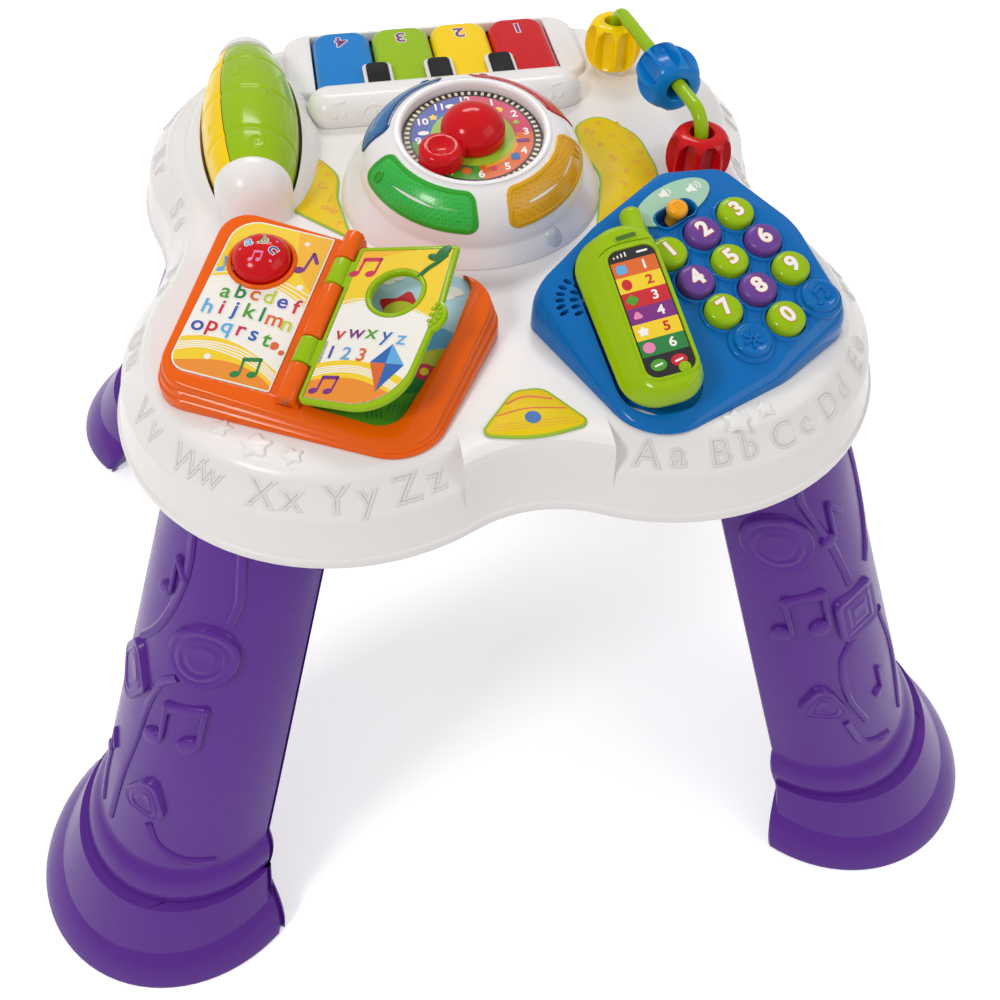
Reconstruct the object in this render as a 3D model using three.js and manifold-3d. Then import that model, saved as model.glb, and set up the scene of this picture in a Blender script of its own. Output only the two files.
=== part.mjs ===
// A musical activity table for standing babies: a four-lobed white tabletop on four
// flared purple legs, with a book, a telephone, a clock dome, a piano, a roller and
// three beads on a rail. Millimetres, +X right, +Y away from the child at the front,
// +Z up, origin on the floor under the middle of the object.
import * as THREE from 'three'
import { mergeVertices } from 'three/addons/utils/BufferGeometryUtils.js'
import Module from 'manifold-3d'

const wasm = await Module()
wasm.setup()

const DEGREE = Math.PI / 180
const QUARTER_TURN = Math.PI / 2
const FULL_TURN = Math.PI * 2

// Clearances and the overrun of every cut
const seatGap = 0.3
const runningGap = 0.45
const overrun = 12
const mergeTolerance = 0.05

// Tabletop, seen from above: four lobes joined by hollow stretches
const tableWidth = 360
const frontLobeRadius = 106
const frontLobeY = -91.7
const rearLobeRadius = 110.7
const rearLobeX = 60.9
const rearLobeY = 67.1
const frontDipRadius = 60.8
const sideDipRadius = 95.9

// Tabletop, from the side
const deckHeight = 322
const skirtHeight = 38.7
const rimHeight = deckHeight - skirtHeight
const shellWall = 3
const lip = { height: 4.2, step: 1.6, round: 1 }
const ridge = { inset: 6, below: 15 }
const crest = { inset: 17.2, below: 3.6, flat: 5.4 }
const platform = { width: 63, depth: 42, footInset: 3.2, footRise: 5, shoulderInset: 5.6, shoulderBelow: 3.4, topInset: 8.6 }

// Legs: a D-shaped tube, flat towards the middle, flared at the foot
const leg = {
  footX: 198.7,
  footY: 176.9,
  frontTopX: 112.5,
  frontTopY: 128.1,
  rearTopX: 97,
  rearTopY: 109,
  wall: 3,
  tenonHeight: 13,
  tenonStep: 4,
  footHalf: 80.3,
  creaseHalf: 50,
  creaseHeight: 57.8,
  collarHalf: 57.5,
  collarHeight: 78,
  collarTop: 86,
  shankHalf: 54,
  topHalf: 43.4,
}
// The flare of the foot: share of its height, share of the way from foot to crease
const footFlareShares = [[0, 0], [0.35, 0.02], [0.62, 0.17], [0.84, 0.48], [1, 1]]

// Underside plate with the leg sockets, the battery box and the posts
const base = { thickness: 3, rise: 1, socketWall: 2.5, socketHeight: 14, postRadius: 4.5 }
const postPlaces = { x: 60, frontY: -72, rearY: 55 }
const battery = { cellRadius: 7.1, cellLength: 50, cellPitch: 16, boxWall: 2, boxHeight: 20, y: -5 }
const batteryDoor = { thickness: 2.4, ledge: 4 }
const board = { width: 84, depth: 40, thickness: 1.6, y: 66, rise: 9, postRadius: 3 }
const speaker = { radius: 19, depth: 11, magnetRadius: 10, magnetDepth: 5, x: 34, y: -98, rimHeight: 2.5 }

// Roller: a barrel on a fixed axle between two white caps, in a raised cradle
const roller = {
  x: -108,
  y: 61,
  above: 8.5,
  radius: 25.4,
  halfLength: 57,
  ellipse: 80,
  wall: 2.5,
  axleRadius: 3,
  wellGap: 1.6,
  seamAngle: -30,
  grooveDepth: 0.7,
  grooveWidth: 2.4,
  groovePitch: 34,
}
const cradle = { halfWidth: 35, halfLength: 75, height: 8.5, slope: 10 }
const rollerCap = { frontRadius: 19.3, rearRadius: 16.5, faceGap: 1.5, axleDepth: 9 }

// Piano: four keys on one rod, a white bar over the rod, three black pads
const piano = {
  keyPitch: 35.2,
  keyGap: 1,
  rearY: 158,
  frontY: 76,
  rodY: 80.5,
  rodBelow: 5,
  rodRadius: 2,
  barrelRadius: 4.4,
  keyAbove: 8,
  keyBelow: 6,
  keyEdge: 5.5,
  keyWall: 2.4,
  rearCorner: 11,
  frontCorner: 2,
  cheek: 5,
}
const surround = { sideWidth: 16.5, rearWidth: 4.2, frontY: 95.5, height: 4.2, corner: 16, slope: 4 }
const bar = { halfLength: 77, frontY: 66, rearY: 93.5, height: 15, channelHeight: 9.2, edge: 11 }
const blackPad = { width: 12.5, length: 19.5, thickness: 1.4, tabMargin: 2, tabThickness: 2.2, corner: 2.6 }

// Clock dome: a body of revolution that leans towards the child
const dome = {
  x: 1,
  y: -1,
  lean: 8,
  turn: 2,
  footRadius: 66,
  wallRadius: 55.9,
  height: 41,
  shoulderRadius: 24,
  shoulderTo: 80,
  shoulderInsideTo: 78,
  wall: 2.6,
  dialRadius: 34.4,
  dialDrop: 4.8,
  wellRadius: 44,
}
const lens = { fromAngle: 19, toAngle: 69, proud: 0.5, thickness: 2.4, gapWidth: 14.4 }
// The dome's flared foot: share of the height below the shoulder, share of the flare
const domeFootShares = [[0, 1], [0.4, 0.8], [0.72, 0.36]]
const dial = { thickness: 1.3 }
const knob = {
  radius: 15.8,
  height: 16.5,
  shaftRadius: 4.2,
  shaftLength: 7,
  armReach: 23.2,
  padRadius: 10.8,
  padHeight: 9.6,
  neckWidth: 15,
  dimpleRadius: 6.6,
  dimpleDepth: 2.4,
  pointing: 220,
}
const sensorBump = { angle: -57, width: 7, depth: 5, height: 11, rise: 7, reach: 58.5 }

// Book: a stepped base leaning towards the child, with one page on a spine pin
const book = {
  x: -80.7,
  y: -105.3,
  turn: -24.4,
  lean: 12,
  halfDepth: 49,
  height: 18.2,
  wall: 3,
  stepInset: 4.6,
  spineRadius: 4.6,
  spineRise: 3.2,
  pinRadius: 1.5,
  pageRecess: 4.5,
  cardThickness: 0.7,
}
const bookStepShares = [[0, 0], [0, 0.38], [0.3, 0.44], [0.3, 0.64], [0.62, 0.7], [0.62, 0.88], [1, 1]]
// Outlines as [x, y, corner radius] from the middle of the spine
const bookFootCorners = [[-62, -51, 18], [62, -56, 23], [73.5, 43, 19], [-65, 49.5, 17]]
const leftCardCorners = [[-55, -42.4, 8], [-9, -42.4, 1], [-9, 42.4, 1], [-55, 42.4, 13]]
const rightCardCorners = [[9, -43.5, 1], [46, -45, 12], [56, 6, 40], [57, 41, 8], [9, 41.5, 1]]
// Knuckle ends along the spine, as shares of the book's half depth
const knuckleEndShares = [-0.96, -0.58, -0.3, 0.29, 0.59, 0.92]
const page = {
  thickness: 2.8,
  frame: 2,
  recess: 1,
  cardThickness: 0.6,
  openAngle: 16,
  armReach: 8,
  holeX: 30.5,
  holeY: 13,
  holeRadius: 11.3,
  holeRim: 2,
  tabX: 46.5,
  tabY: 2.5,
  tabRadius: 10,
}
// Page outline as [x, y, corner radius] from the spine pin
const pageCorners = [[5.4, -46, 3], [50, -48.5, 26], [53.5, 6, 40], [51.5, 41.5, 2], [5.4, 37, 2]]
const letterButton = { x: -36, y: 21, radius: 13, rise: 10.5, skirt: 6, bezel: 2.3, bezelHeight: 1.6, travel: 3 }

// Telephone: a base leaning towards the child, ten keys, a lift-off handset
const phone = {
  x: 101.2,
  y: -103.4,
  turn: 26.9,
  lean: 15,
  height: 23,
  wall: 2.8,
  keyPitchX: 20.2,
  keyPitchY: 18.4,
  keyRadius: 8.3,
  keyRise: 5.2,
  keySkirt: 6,
  bossRim: 1.6,
}
// Outlines as [x, y, corner radius] from the middle key, at the deck and on the top plane
const phoneFootCorners = [[-88, -49, 24], [-15, -54, 40], [32, -48, 14], [45, 0, 30], [37, 44, 12], [8, 57, 14], [-40, 51, 30], [-82, 42, 10]]
const phoneTopCorners = [[-75, -40, 24], [-15, -47, 40], [28, -42, 12], [40, 0, 30], [33, 41, 12], [7, 55, 14], [-38, 49, 30], [-70, 40, 10]]
// The wall between foot and top: share of the height, share of the way inwards
const phoneWallShares = [[0, 0], [0.6, 0.1], [0.88, 0.45], [1, 1]]
const phoneKeyNames = ['1', '2', '3', '4', '5', '6', '7', '8', '9', 'star', '0', 'note']
// The handset lies on a slope of its own, placed by the middle of its face, from the
// phone's middle key and the deck
const handset = {
  fromPhoneX: -46,
  fromPhoneY: -31.1,
  rise: 31,
  turn: 4,
  lean: 15,
  sideLean: -10,
  thickness: 20,
  sunk: 9,
  edge: 4,
  right: 13.4,
  left: 15.6,
  belly: 7,
  halfLength: 42,
  topLength: 46,
  corner: 13,
  topCorner: 14,
  aerialX: 7.6,
  aerialRadius: 5.2,
  aerialLength: 11,
  screenHalfWidth: 10.2,
  screenHalfLength: 32,
  screenDepth: 1,
  screenCorner: 5,
  screenY: -1,
  liftTravel: 60,
}
const volume = { x: -2.5, y: 34, radius: 4, rise: 7.5, skirt: 4, travel: 6, plateX: 1, plateY: 40, plateHalfWidth: 21, plateHalfDepth: 9.5, plateThickness: 0.9, plateTurn: 0, slotMargin: 1.6 }
const speakerHoleRadius = 1.4
const speakerHolePlaces = [[-58, 36], [-63, 34], [-68, 29], [-71, 24], [-73, 18], [-57, 29], [-62, 25], [-65, 20], [-67, 14]]

// Beads on a bent rail
const rail = { rearX: 101, rearY: 103, frontX: 116, frontY: -12, radius: 3.5, height: 38.5, bend: 12, below: 6, collarRadius: 8, collarHeight: 3 }
const bead = { radius: 16.2, halfHeight: 13.6, endRadius: 10, bore: 6.2, ribs: 8, ribWidth: 2.6, coreRadius: 8.6, rimHeight: 4.2 }
const blueBeadShare = 0.62

// Prints and plates on the deck
const decal = { thickness: 0.6 }
const nameplate = { x: 1, fromFront: 21.4, halfWidth: 25, halfDepth: 14.5, thickness: 0.8 }
const nameplateShares = [[-0.98, -0.62, 0.25], [0, -1.02, 4], [0.98, -0.66, 0.25], [0.3, 0.98, 0.6], [-0.22, 0.98, 0.6]]
const leftDecal = { x: -76, y: 7, halfWidth: 14, halfDepth: 40 }
const leftDecalShares = [[0.96, -0.98, 0.02], [0.66, -0.1, 1.4], [0.84, 0.38, 0.5], [0.34, 0.7, 0.5], [-0.24, 0.98, 0.3], [-0.38, 0.5, 0.8], [-0.5, 0.05, 1.2], [-1, -0.28, 0.1], [-0.4, -0.5, 1]]
const rightDecal = { x: 79, y: 8, halfWidth: 22, halfDepth: 50 }
const rightDecalShares = [[-1, -1, 0.1], [0.72, -0.76, 0.3], [0.98, -0.1, 2], [0.9, 0.5, 1.4], [0.16, 0.98, 0.7], [-0.6, 0.8, 0.6], [-0.66, 0.3, 1.4], [-0.42, -0.15, 1.4]]

// Colours
const colour = {
  white: 0xf1eeec,
  purple: 0x4d2488,
  orange: 0xee5310,
  green: 0x8cc21c,
  yellow: 0xf6cd00,
  red: 0xd4141c,
  blue: 0x0a72c4,
  keyPurple: 0x7a4fa8,
  paper: 0xf4e9c8,
  black: 0x18141a,
  mint: 0xa9d3b8,
  amber: 0xe0a010,
  lensGreen: 0x2cae48,
  lensBlue: 0x1d5c94,
  lensRed: 0xc0252c,
  steel: 0xb9bcc0,
  cell: 0x3b3f46,
  boardGreen: 0x1f6b43,
}
function plastic(hex, roughness = 0.35) {
  return new THREE.MeshStandardMaterial({ color: hex, roughness, metalness: 0 })
}
function metal(hex) {
  return new THREE.MeshStandardMaterial({ color: hex, roughness: 0.3, metalness: 1 })
}

// Solid helpers

// A closed geometry as a solid that can be joined and cut
function solidOf(geometry) {
  const plain = geometry.clone()
  plain.deleteAttribute('normal')
  plain.deleteAttribute('uv')
  const merged = mergeVertices(plain, 1e-4)
  const position = merged.attributes.position
  const corners = []
  const a = new THREE.Vector3()
  const b = new THREE.Vector3()
  const c = new THREE.Vector3()
  let volume = 0
  for (let i = 0; i < merged.index.count; i += 3) {
    const [p, q, r] = [0, 1, 2].map((k) => merged.index.getX(i + k))
    if (p === q || q === r || r === p) continue
    corners.push(p, q, r)
    a.fromBufferAttribute(position, p)
    b.fromBufferAttribute(position, q)
    c.fromBufferAttribute(position, r)
    volume += a.dot(b.cross(c))
  }
  if (volume < 0) {
    corners.reverse()
  }
  const vertProperties = new Float32Array(position.array)
  const triVerts = new Uint32Array(corners)
  return new wasm.Manifold(new wasm.Mesh({ numProp: 3, vertProperties, triVerts }))
}

function geometryOf(solid) {
  const mesh = solid.getMesh()
  const geometry = new THREE.BufferGeometry()
  geometry.setAttribute('position', new THREE.BufferAttribute(new Float32Array(mesh.vertProperties), 3))
  geometry.setIndex(new THREE.BufferAttribute(new Uint32Array(mesh.triVerts), 1))
  geometry.computeVertexNormals()
  return geometry
}

function joined(first, ...others) {
  return others.reduce((whole, other) => whole.add(other), first)
}

function cut(first, ...others) {
  return others.reduce((whole, other) => whole.subtract(other), first)
}

function named(name, solid, material) {
  const mesh = new THREE.Mesh(geometryOf(solid.asOriginal().simplify(mergeTolerance)), material)
  mesh.name = name
  return mesh
}

// Outline helpers: lists of Vector2, counter-clockwise

function arc(centre, radius, from, to, steps) {
  const points = []
  for (let i = 0; i <= steps; i++) {
    const angle = from + ((to - from) * i) / steps
    points.push(new THREE.Vector2(centre.x + radius * Math.cos(angle), centre.y + radius * Math.sin(angle)))
  }
  return points
}

function circle(radius, steps, x = 0, y = 0) {
  return arc({ x, y }, radius, 0, FULL_TURN, steps).slice(0, steps)
}

function ellipse(halfWidth, halfDepth, steps, x = 0, y = 0) {
  return circle(1, steps).map((p) => new THREE.Vector2(x + p.x * halfWidth, y + p.y * halfDepth))
}

// A polygon of [x, y, corner radius], each side moved in by inset, its corners rounded
function roundedPolygon(corners, inset, steps) {
  const count = corners.length
  const outline = []
  const inward = (from, to) => new THREE.Vector2(from.y - to.y, to.x - from.x).normalize()
  const at = corners.map(([x, y]) => new THREE.Vector2(x, y))
  for (let i = 0; i < count; i++) {
    const here = at[i]
    const before = at[(i + count - 1) % count]
    const after = at[(i + 1) % count]
    const normalIn = inward(before, here)
    const normalOut = inward(here, after)
    const middle = normalIn.clone().add(normalOut)
    const reach = 2 / middle.lengthSq()
    const moved = here.clone().addScaledVector(middle, inset * reach)
    const turn = normalIn.x * normalOut.y - normalIn.y * normalOut.x
    const side = turn < 0 ? -1 : 1
    const wanted = corners[i][2] - side * inset
    const least = corners[i][2] * 0.05
    const half = Math.acos(Math.min(1, normalIn.dot(normalOut))) / 2
    const room = 0.48 * Math.min(here.distanceTo(before), here.distanceTo(after))
    const radius = Math.min(Math.max(wanted, least), room / Math.max(Math.tan(half), 1e-6))
    const centre = moved.clone().addScaledVector(middle, side * radius * reach)
    const start = Math.atan2(-normalIn.y * side, -normalIn.x * side)
    outline.push(...arc(centre, radius, start, start + side * half * 2, steps))
  }
  return outline
}

function roundedRectangle(halfWidth, halfDepth, corner, inset, steps, x = 0, y = 0) {
  const corners = [[-1, -1], [1, -1], [1, 1], [-1, 1]].map(([u, v]) => [x + u * halfWidth, y + v * halfDepth, corner])
  return roundedPolygon(corners, inset, steps)
}

function shareOutline(shares, place, inset = 0, steps = 3) {
  const size = Math.min(place.halfWidth, place.halfDepth)
  const corners = shares.map(([u, v, w]) => [place.x + u * place.halfWidth, place.y + v * place.halfDepth, w * size])
  return roundedPolygon(corners, inset, steps)
}

// Loft helpers: rings of Vector3, counter-clockwise seen from above, going up

function ringAt(outline, height) {
  return outline.map((p) => new THREE.Vector3(p.x, p.y, typeof height === 'function' ? height(p.x, p.y) : height))
}

function loft(rings) {
  const count = rings[0].length
  const points = rings.flat()
  const corners = []
  for (let k = 0; k + 1 < rings.length; k++) {
    for (let i = 0; i < count; i++) {
      const j = (i + 1) % count
      const [p, q, r, s] = [k * count + i, k * count + j, (k + 1) * count + j, (k + 1) * count + i]
      corners.push(p, q, r, p, r, s)
    }
  }
  const last = (rings.length - 1) * count
  const flat = (ring) => ring.map((p) => new THREE.Vector2(p.x, p.y))
  for (const [a, b, c] of THREE.ShapeUtils.triangulateShape(flat(rings[0]), [])) corners.push(a, c, b)
  for (const [a, b, c] of THREE.ShapeUtils.triangulateShape(flat(rings.at(-1)), [])) {
    corners.push(last + a, last + b, last + c)
  }
  const geometry = new THREE.BufferGeometry()
  geometry.setAttribute('position', new THREE.Float32BufferAttribute(points.flatMap((p) => [p.x, p.y, p.z]), 3))
  geometry.setIndex(corners)
  return geometry
}

// A tube through convex rings that may face any way
function sweep(rings) {
  const count = rings[0].length
  const corners = []
  for (let k = 0; k + 1 < rings.length; k++) {
    for (let i = 0; i < count; i++) {
      const j = (i + 1) % count
      const [p, q, r, s] = [k * count + i, k * count + j, (k + 1) * count + j, (k + 1) * count + i]
      corners.push(p, q, r, p, r, s)
    }
  }
  const last = (rings.length - 1) * count
  for (let i = 1; i + 1 < count; i++) corners.push(0, i + 1, i, last, last + i, last + i + 1)
  const geometry = new THREE.BufferGeometry()
  geometry.setAttribute('position', new THREE.Float32BufferAttribute(rings.flat().flatMap((p) => [p.x, p.y, p.z]), 3))
  geometry.setIndex(corners)
  return geometry
}

function prism(outline, from, to) {
  return loft([ringAt(outline, from), ringAt(outline, to)])
}

// Layers of [inset, height] over an outline that can be inset
function layered(outlineAt, layers) {
  return loft(layers.map(([inset, height]) => ringAt(outlineAt(inset), height)))
}

// A profile of [radius, height] turned about +Z
function revolved(profile, steps) {
  const points = profile.map(([r, z]) => new THREE.Vector2(r, z))
  return new THREE.LatheGeometry(points, steps).rotateX(QUARTER_TURN)
}

function rod(radius, from, to, steps) {
  return prism(circle(radius, steps), from, to)
}

function rodAlongX(radius, from, to, steps, y, z) {
  return rod(radius, from, to, steps).rotateY(QUARTER_TURN).translate(0, y, z)
}

function rodAlongY(radius, from, to, steps, x, z) {
  return rod(radius, from, to, steps).rotateX(-QUARTER_TURN).translate(x, 0, z)
}

function block(x0, x1, y0, y1, z0, z1) {
  return new THREE.BoxGeometry(x1 - x0, y1 - y0, z1 - z0).translate((x0 + x1) / 2, (y0 + y1) / 2, (z0 + z1) / 2)
}

// A quarter-round edge as layers: from the full outline up to the top, inset by size
function roundedEdge(size, top, steps) {
  const layers = []
  for (let i = 0; i <= steps; i++) {
    const angle = (QUARTER_TURN * i) / steps
    layers.push([size * (1 - Math.cos(angle)), top - size * (1 - Math.sin(angle))])
  }
  return layers
}

// Tabletop

const frontLobeX = tableWidth / 2 - frontLobeRadius
const frontDipY = frontLobeY - Math.sqrt((frontLobeRadius + frontDipRadius) ** 2 - frontLobeX ** 2)
const nameplateY = frontDipY + frontDipRadius + nameplate.fromFront

// The outline of four lobes, moved in by inset
function tableOutline(inset) {
  const lobe = new THREE.Vector2(frontLobeX, frontLobeY)
  const rear = new THREE.Vector2(rearLobeX, rearLobeY)
  const dip = new THREE.Vector2(0, frontDipY)
  const toFront = frontLobeRadius + sideDipRadius
  const toRear = rearLobeRadius + sideDipRadius
  const between = rear.clone().sub(lobe)
  const apart = between.length()
  const along = (toFront ** 2 - toRear ** 2 + apart ** 2) / (2 * apart)
  const aside = Math.sqrt(toFront ** 2 - along ** 2)
  const side = lobe.clone().addScaledVector(between, along / apart)
  side.add(new THREE.Vector2(between.y, -between.x).multiplyScalar(aside / apart))
  const angleTo = (from, to) => Math.atan2(to.y - from.y, to.x - from.x)
  const dipEnd = angleTo(dip, lobe)
  const lobeEnd = angleTo(lobe, side)
  const sideEnd = angleTo(side, rear)
  const half = [
    ...arc(dip, frontDipRadius + inset, QUARTER_TURN, dipEnd, 3),
    ...arc(lobe, frontLobeRadius - inset, dipEnd - Math.PI, lobeEnd, 9).slice(1),
    ...arc(side, sideDipRadius + inset, lobeEnd + Math.PI, sideEnd, 3).slice(1),
    ...arc(rear, rearLobeRadius - inset, sideEnd - Math.PI, QUARTER_TURN, 8).slice(1),
  ]
  const mirrored = half.slice(1).reverse().map((p) => new THREE.Vector2(-p.x, p.y))
  return [...half, ...mirrored]
}

const lipTop = rimHeight + lip.height
const ridgeHeight = deckHeight - ridge.below
const crestHeight = deckHeight - crest.below
const deckInset = crest.inset + crest.flat
const deckUnderside = deckHeight - shellWall

function shellOuter() {
  return solidOf(layered(tableOutline, [
    [0, rimHeight],
    [0, lipTop],
    [lip.step, lipTop + lip.round],
    [ridge.inset, ridgeHeight],
    [crest.inset, crestHeight],
    [deckInset, deckHeight],
  ]))
}

function shellInner() {
  return solidOf(layered(tableOutline, [
    [shellWall, rimHeight - overrun],
    [shellWall, lipTop],
    [ridge.inset + shellWall, ridgeHeight - shellWall],
    [deckInset + shellWall / 2, deckUnderside],
  ]))
}

// The plain stretch at the front that interrupts the sloping band
function frontPlatform() {
  const steep = solidOf(layered(tableOutline, [
    [lip.step, lipTop],
    [platform.footInset, lipTop + platform.footRise],
    [platform.shoulderInset, deckHeight - platform.shoulderBelow],
    [(platform.shoulderInset + platform.topInset) / 2, deckHeight - platform.shoulderBelow / 4],
    [platform.topInset, deckHeight],
  ]))
  const half = platform.width / 2
  const front = -tableWidth
  const back = frontLobeY - frontLobeRadius + platform.depth
  return steep.intersect(solidOf(block(-half, half, front, back, rimHeight, deckHeight + overrun)))
}

// The barrel's radius along its axle, given the distance from its middle
function barrelRadius(along) {
  return roller.radius * Math.sqrt(1 - (along / roller.ellipse) ** 2)
}

function barrelProfile(extra, bore) {
  const steps = 6
  const profile = [[bore, -roller.halfLength - extra]]
  for (let i = 0; i <= steps; i++) {
    const along = roller.halfLength * ((2 * i) / steps - 1)
    profile.push([barrelRadius(along) + extra, along + (i === 0 ? -extra : i === steps ? extra : 0)])
  }
  profile.push([bore, roller.halfLength + extra])
  return profile
}

function onRollerAxis(geometry) {
  return geometry.rotateX(-QUARTER_TURN).translate(roller.x, roller.y, deckHeight + roller.above)
}

function rollerCradle() {
  const outlineAt = (inset) => ellipse(cradle.halfWidth - inset, cradle.halfLength - inset, 26, roller.x, roller.y)
  const ring = solidOf(layered(outlineAt, [
    [0, deckHeight - shellWall / 2],
    [0, deckHeight + seatGap],
    [cradle.slope * 0.35, deckHeight + cradle.height * 0.7],
    [cradle.slope, deckHeight + cradle.height],
  ]))
  return cut(ring, solidOf(prism(barOutline(-seatGap), deckHeight, deckHeight + bar.height)))
}

// A bullet-shaped cap that holds one end of the roller's axle
function axleCap(radius, faceY, outward) {
  const centreY = faceY + outward * seatGap
  const top = deckHeight + roller.above + radius * 0.14
  const profile = [[0, deckHeight - shellWall / 2], [radius, deckHeight - shellWall / 2]]
  const steps = 4
  for (let i = 0; i < steps; i++) {
    const angle = (QUARTER_TURN * i) / steps
    profile.push([radius * Math.cos(angle), top + radius * Math.sin(angle)])
  }
  profile.push([0, top + radius])
  const bullet = solidOf(revolved(profile, 16).translate(roller.x, centreY, 0))
  const reach = radius + overrun
  const far = faceY + outward * reach
  const keep = block(roller.x - reach, roller.x + reach, Math.min(faceY, far), Math.max(faceY, far), rimHeight, deckHeight + reach * 3)
  return bullet.intersect(solidOf(keep))
}

const frontFaceY = roller.y - roller.halfLength - rollerCap.faceGap
const rearFaceY = roller.y + roller.halfLength + rollerCap.faceGap
const axleHeight = deckHeight + roller.above
const axleFrom = frontFaceY - rollerCap.axleDepth
const axleTo = rearFaceY + rollerCap.axleDepth

const pianoHalf = piano.keyPitch * 2
const windowHalf = pianoHalf + piano.keyGap / 2
const windowRear = piano.rearY + piano.keyGap
const windowFront = piano.frontY - piano.keyGap * 2
const rodHeight = deckHeight - piano.rodBelow

function pianoSurround() {
  const rear = windowRear + surround.rearWidth
  const half = windowHalf + surround.sideWidth
  const middle = (surround.frontY + rear) / 2
  const outlineAt = (inset) => roundedRectangle(half, (rear - surround.frontY) / 2, surround.corner, inset, 3, 0, middle)
  const top = deckHeight + surround.height
  return solidOf(layered(outlineAt, [
    [0, crestHeight - surround.slope],
    [0, deckHeight],
    [surround.rearWidth * 0.12, top - surround.height / 2],
    [surround.rearWidth * 0.45, top],
  ]))
}

// Cheeks under the deck that hold the ends of the key rod
function rodCheeks() {
  const low = rodHeight - piano.barrelRadius
  const cheeks = [-1, 1].map((side) => {
    const inner = side * windowHalf
    const outer = side * (windowHalf + piano.cheek)
    const [x0, x1] = [Math.min(inner, outer), Math.max(inner, outer)]
    return solidOf(block(x0, x1, piano.rodY - piano.barrelRadius, piano.rodY + piano.barrelRadius, low, deckHeight - shellWall / 2))
  })
  return joined(...cheeks)
}

function railCollar(x, y) {
  return solidOf(rod(rail.collarRadius, deckHeight - shellWall / 2, deckHeight + rail.collarHeight, 14).translate(x, y, 0))
}

function topShell() {
  const outer = joined(shellOuter(), frontPlatform())
  const hollow = cut(outer, shellInner())
  const raised = joined(
    hollow,
    rollerCradle(),
    pianoSurround(),
    rodCheeks(),
    railCollar(rail.rearX, rail.rearY),
    railCollar(rail.frontX, rail.frontY),
  )
  const well = cut(raised, solidOf(onRollerAxis(revolved(barrelProfile(roller.wellGap, 0), 16))))
  const capped = joined(well, axleCap(rollerCap.frontRadius, frontFaceY, -1), axleCap(rollerCap.rearRadius, rearFaceY, 1))
  const top = deckHeight + overrun * 2
  const keyWindow = block(-windowHalf, windowHalf, windowFront, windowRear, rimHeight, top)
  const wires = rod(dome.wellRadius, rimHeight, top, 20).translate(dome.x, dome.y, 0)
  const speakerWell = rod(speaker.radius - speaker.rimHeight, rimHeight, top, 16).translate(speaker.x, speaker.y, 0)
  const railHole = (x, y) => solidOf(rod(rail.radius + seatGap, rimHeight, top, 10).translate(x, y, 0))
  return cut(
    capped,
    solidOf(keyWindow),
    solidOf(wires),
    solidOf(speakerWell),
    railHole(rail.rearX, rail.rearY),
    railHole(rail.frontX, rail.frontY),
    solidOf(rodAlongY(roller.axleRadius + seatGap, axleFrom - seatGap, axleTo + seatGap, 10, roller.x, axleHeight)),
    solidOf(rodAlongX(piano.rodRadius + seatGap, -rodHalf - seatGap, rodHalf + seatGap, 8, piano.rodY, rodHeight)),
  )
}

// Legs

const rodHalf = windowHalf + piano.cheek * 0.8
const plateBottom = rimHeight + base.rise
const plateTop = plateBottom + base.thickness
const legTop = plateBottom - seatGap
const legPlaces = [
  { name: 'leg_front_left', sideX: -1, sideY: -1, topX: leg.frontTopX, topY: leg.frontTopY },
  { name: 'leg_front_right', sideX: 1, sideY: -1, topX: leg.frontTopX, topY: leg.frontTopY },
  { name: 'leg_rear_left', sideX: -1, sideY: 1, topX: leg.rearTopX, topY: leg.rearTopY },
  { name: 'leg_rear_right', sideX: 1, sideY: 1, topX: leg.rearTopX, topY: leg.rearTopY },
]

// Heights and half widths of the leg's D section, from the floor up
function legLevels() {
  const flare = footFlareShares.map(([rise, inward]) => [
    rise * leg.creaseHeight,
    leg.footHalf + (leg.creaseHalf - leg.footHalf) * inward,
  ])
  const collarMiddle = (leg.creaseHeight + leg.collarHeight) / 2
  return [
    ...flare,
    [collarMiddle, leg.creaseHalf + (leg.collarHalf - leg.creaseHalf) * 0.8],
    [leg.collarHeight, leg.collarHalf],
    [leg.collarTop, leg.shankHalf],
    [legTop, leg.topHalf],
  ]
}

// One D section: a half circle outwards and a flat chord inwards, thinned by inset
function legRing(place, height, half, inset) {
  const share = height / legTop
  const x = place.sideX * (leg.footX + (place.topX - leg.footX) * share)
  const y = place.sideY * (leg.footY + (place.topY - leg.footY) * share)
  const outward = new THREE.Vector2(place.sideX, place.sideY).normalize()
  const tangent = new THREE.Vector2(-outward.y, outward.x)
  const radius = half - inset
  const start = Math.asin(Math.min(1, inset / radius))
  const steps = 8
  const ring = []
  for (let i = 0; i <= steps; i++) {
    const angle = start + ((Math.PI - 2 * start) * i) / steps
    const along = -Math.cos(angle) * radius
    const out = Math.sin(angle) * radius
    ring.push(new THREE.Vector3(
      x + tangent.x * along + outward.x * out,
      y + tangent.y * along + outward.y * out,
      height,
    ))
  }
  return ring
}

function legSolid(place) {
  const levels = legLevels()
  const outer = solidOf(loft(levels.map(([z, half]) => legRing(place, z, half, 0))))
  const hollow = [0, 2, 4, 7].map((i) => legRing(place, levels[i][0], levels[i][1], leg.wall))
  const floor = legRing(place, 0, leg.footHalf, leg.wall).map((p) => p.setZ(-overrun))
  const lid = legRing(place, legTop - leg.wall, leg.topHalf, leg.wall)
  const cavity = solidOf(loft([floor, ...hollow, lid]))
  const tenonRing = legRing(place, legTop, leg.topHalf, leg.tenonStep)
  const raise = (z) => tenonRing.map((p) => p.clone().setZ(z))
  const tenon = solidOf(loft([raise(legTop - leg.wall / 2), raise(legTop + leg.tenonHeight)]))
  return joined(cut(outer, cavity), tenon)
}

// Underside

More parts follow.
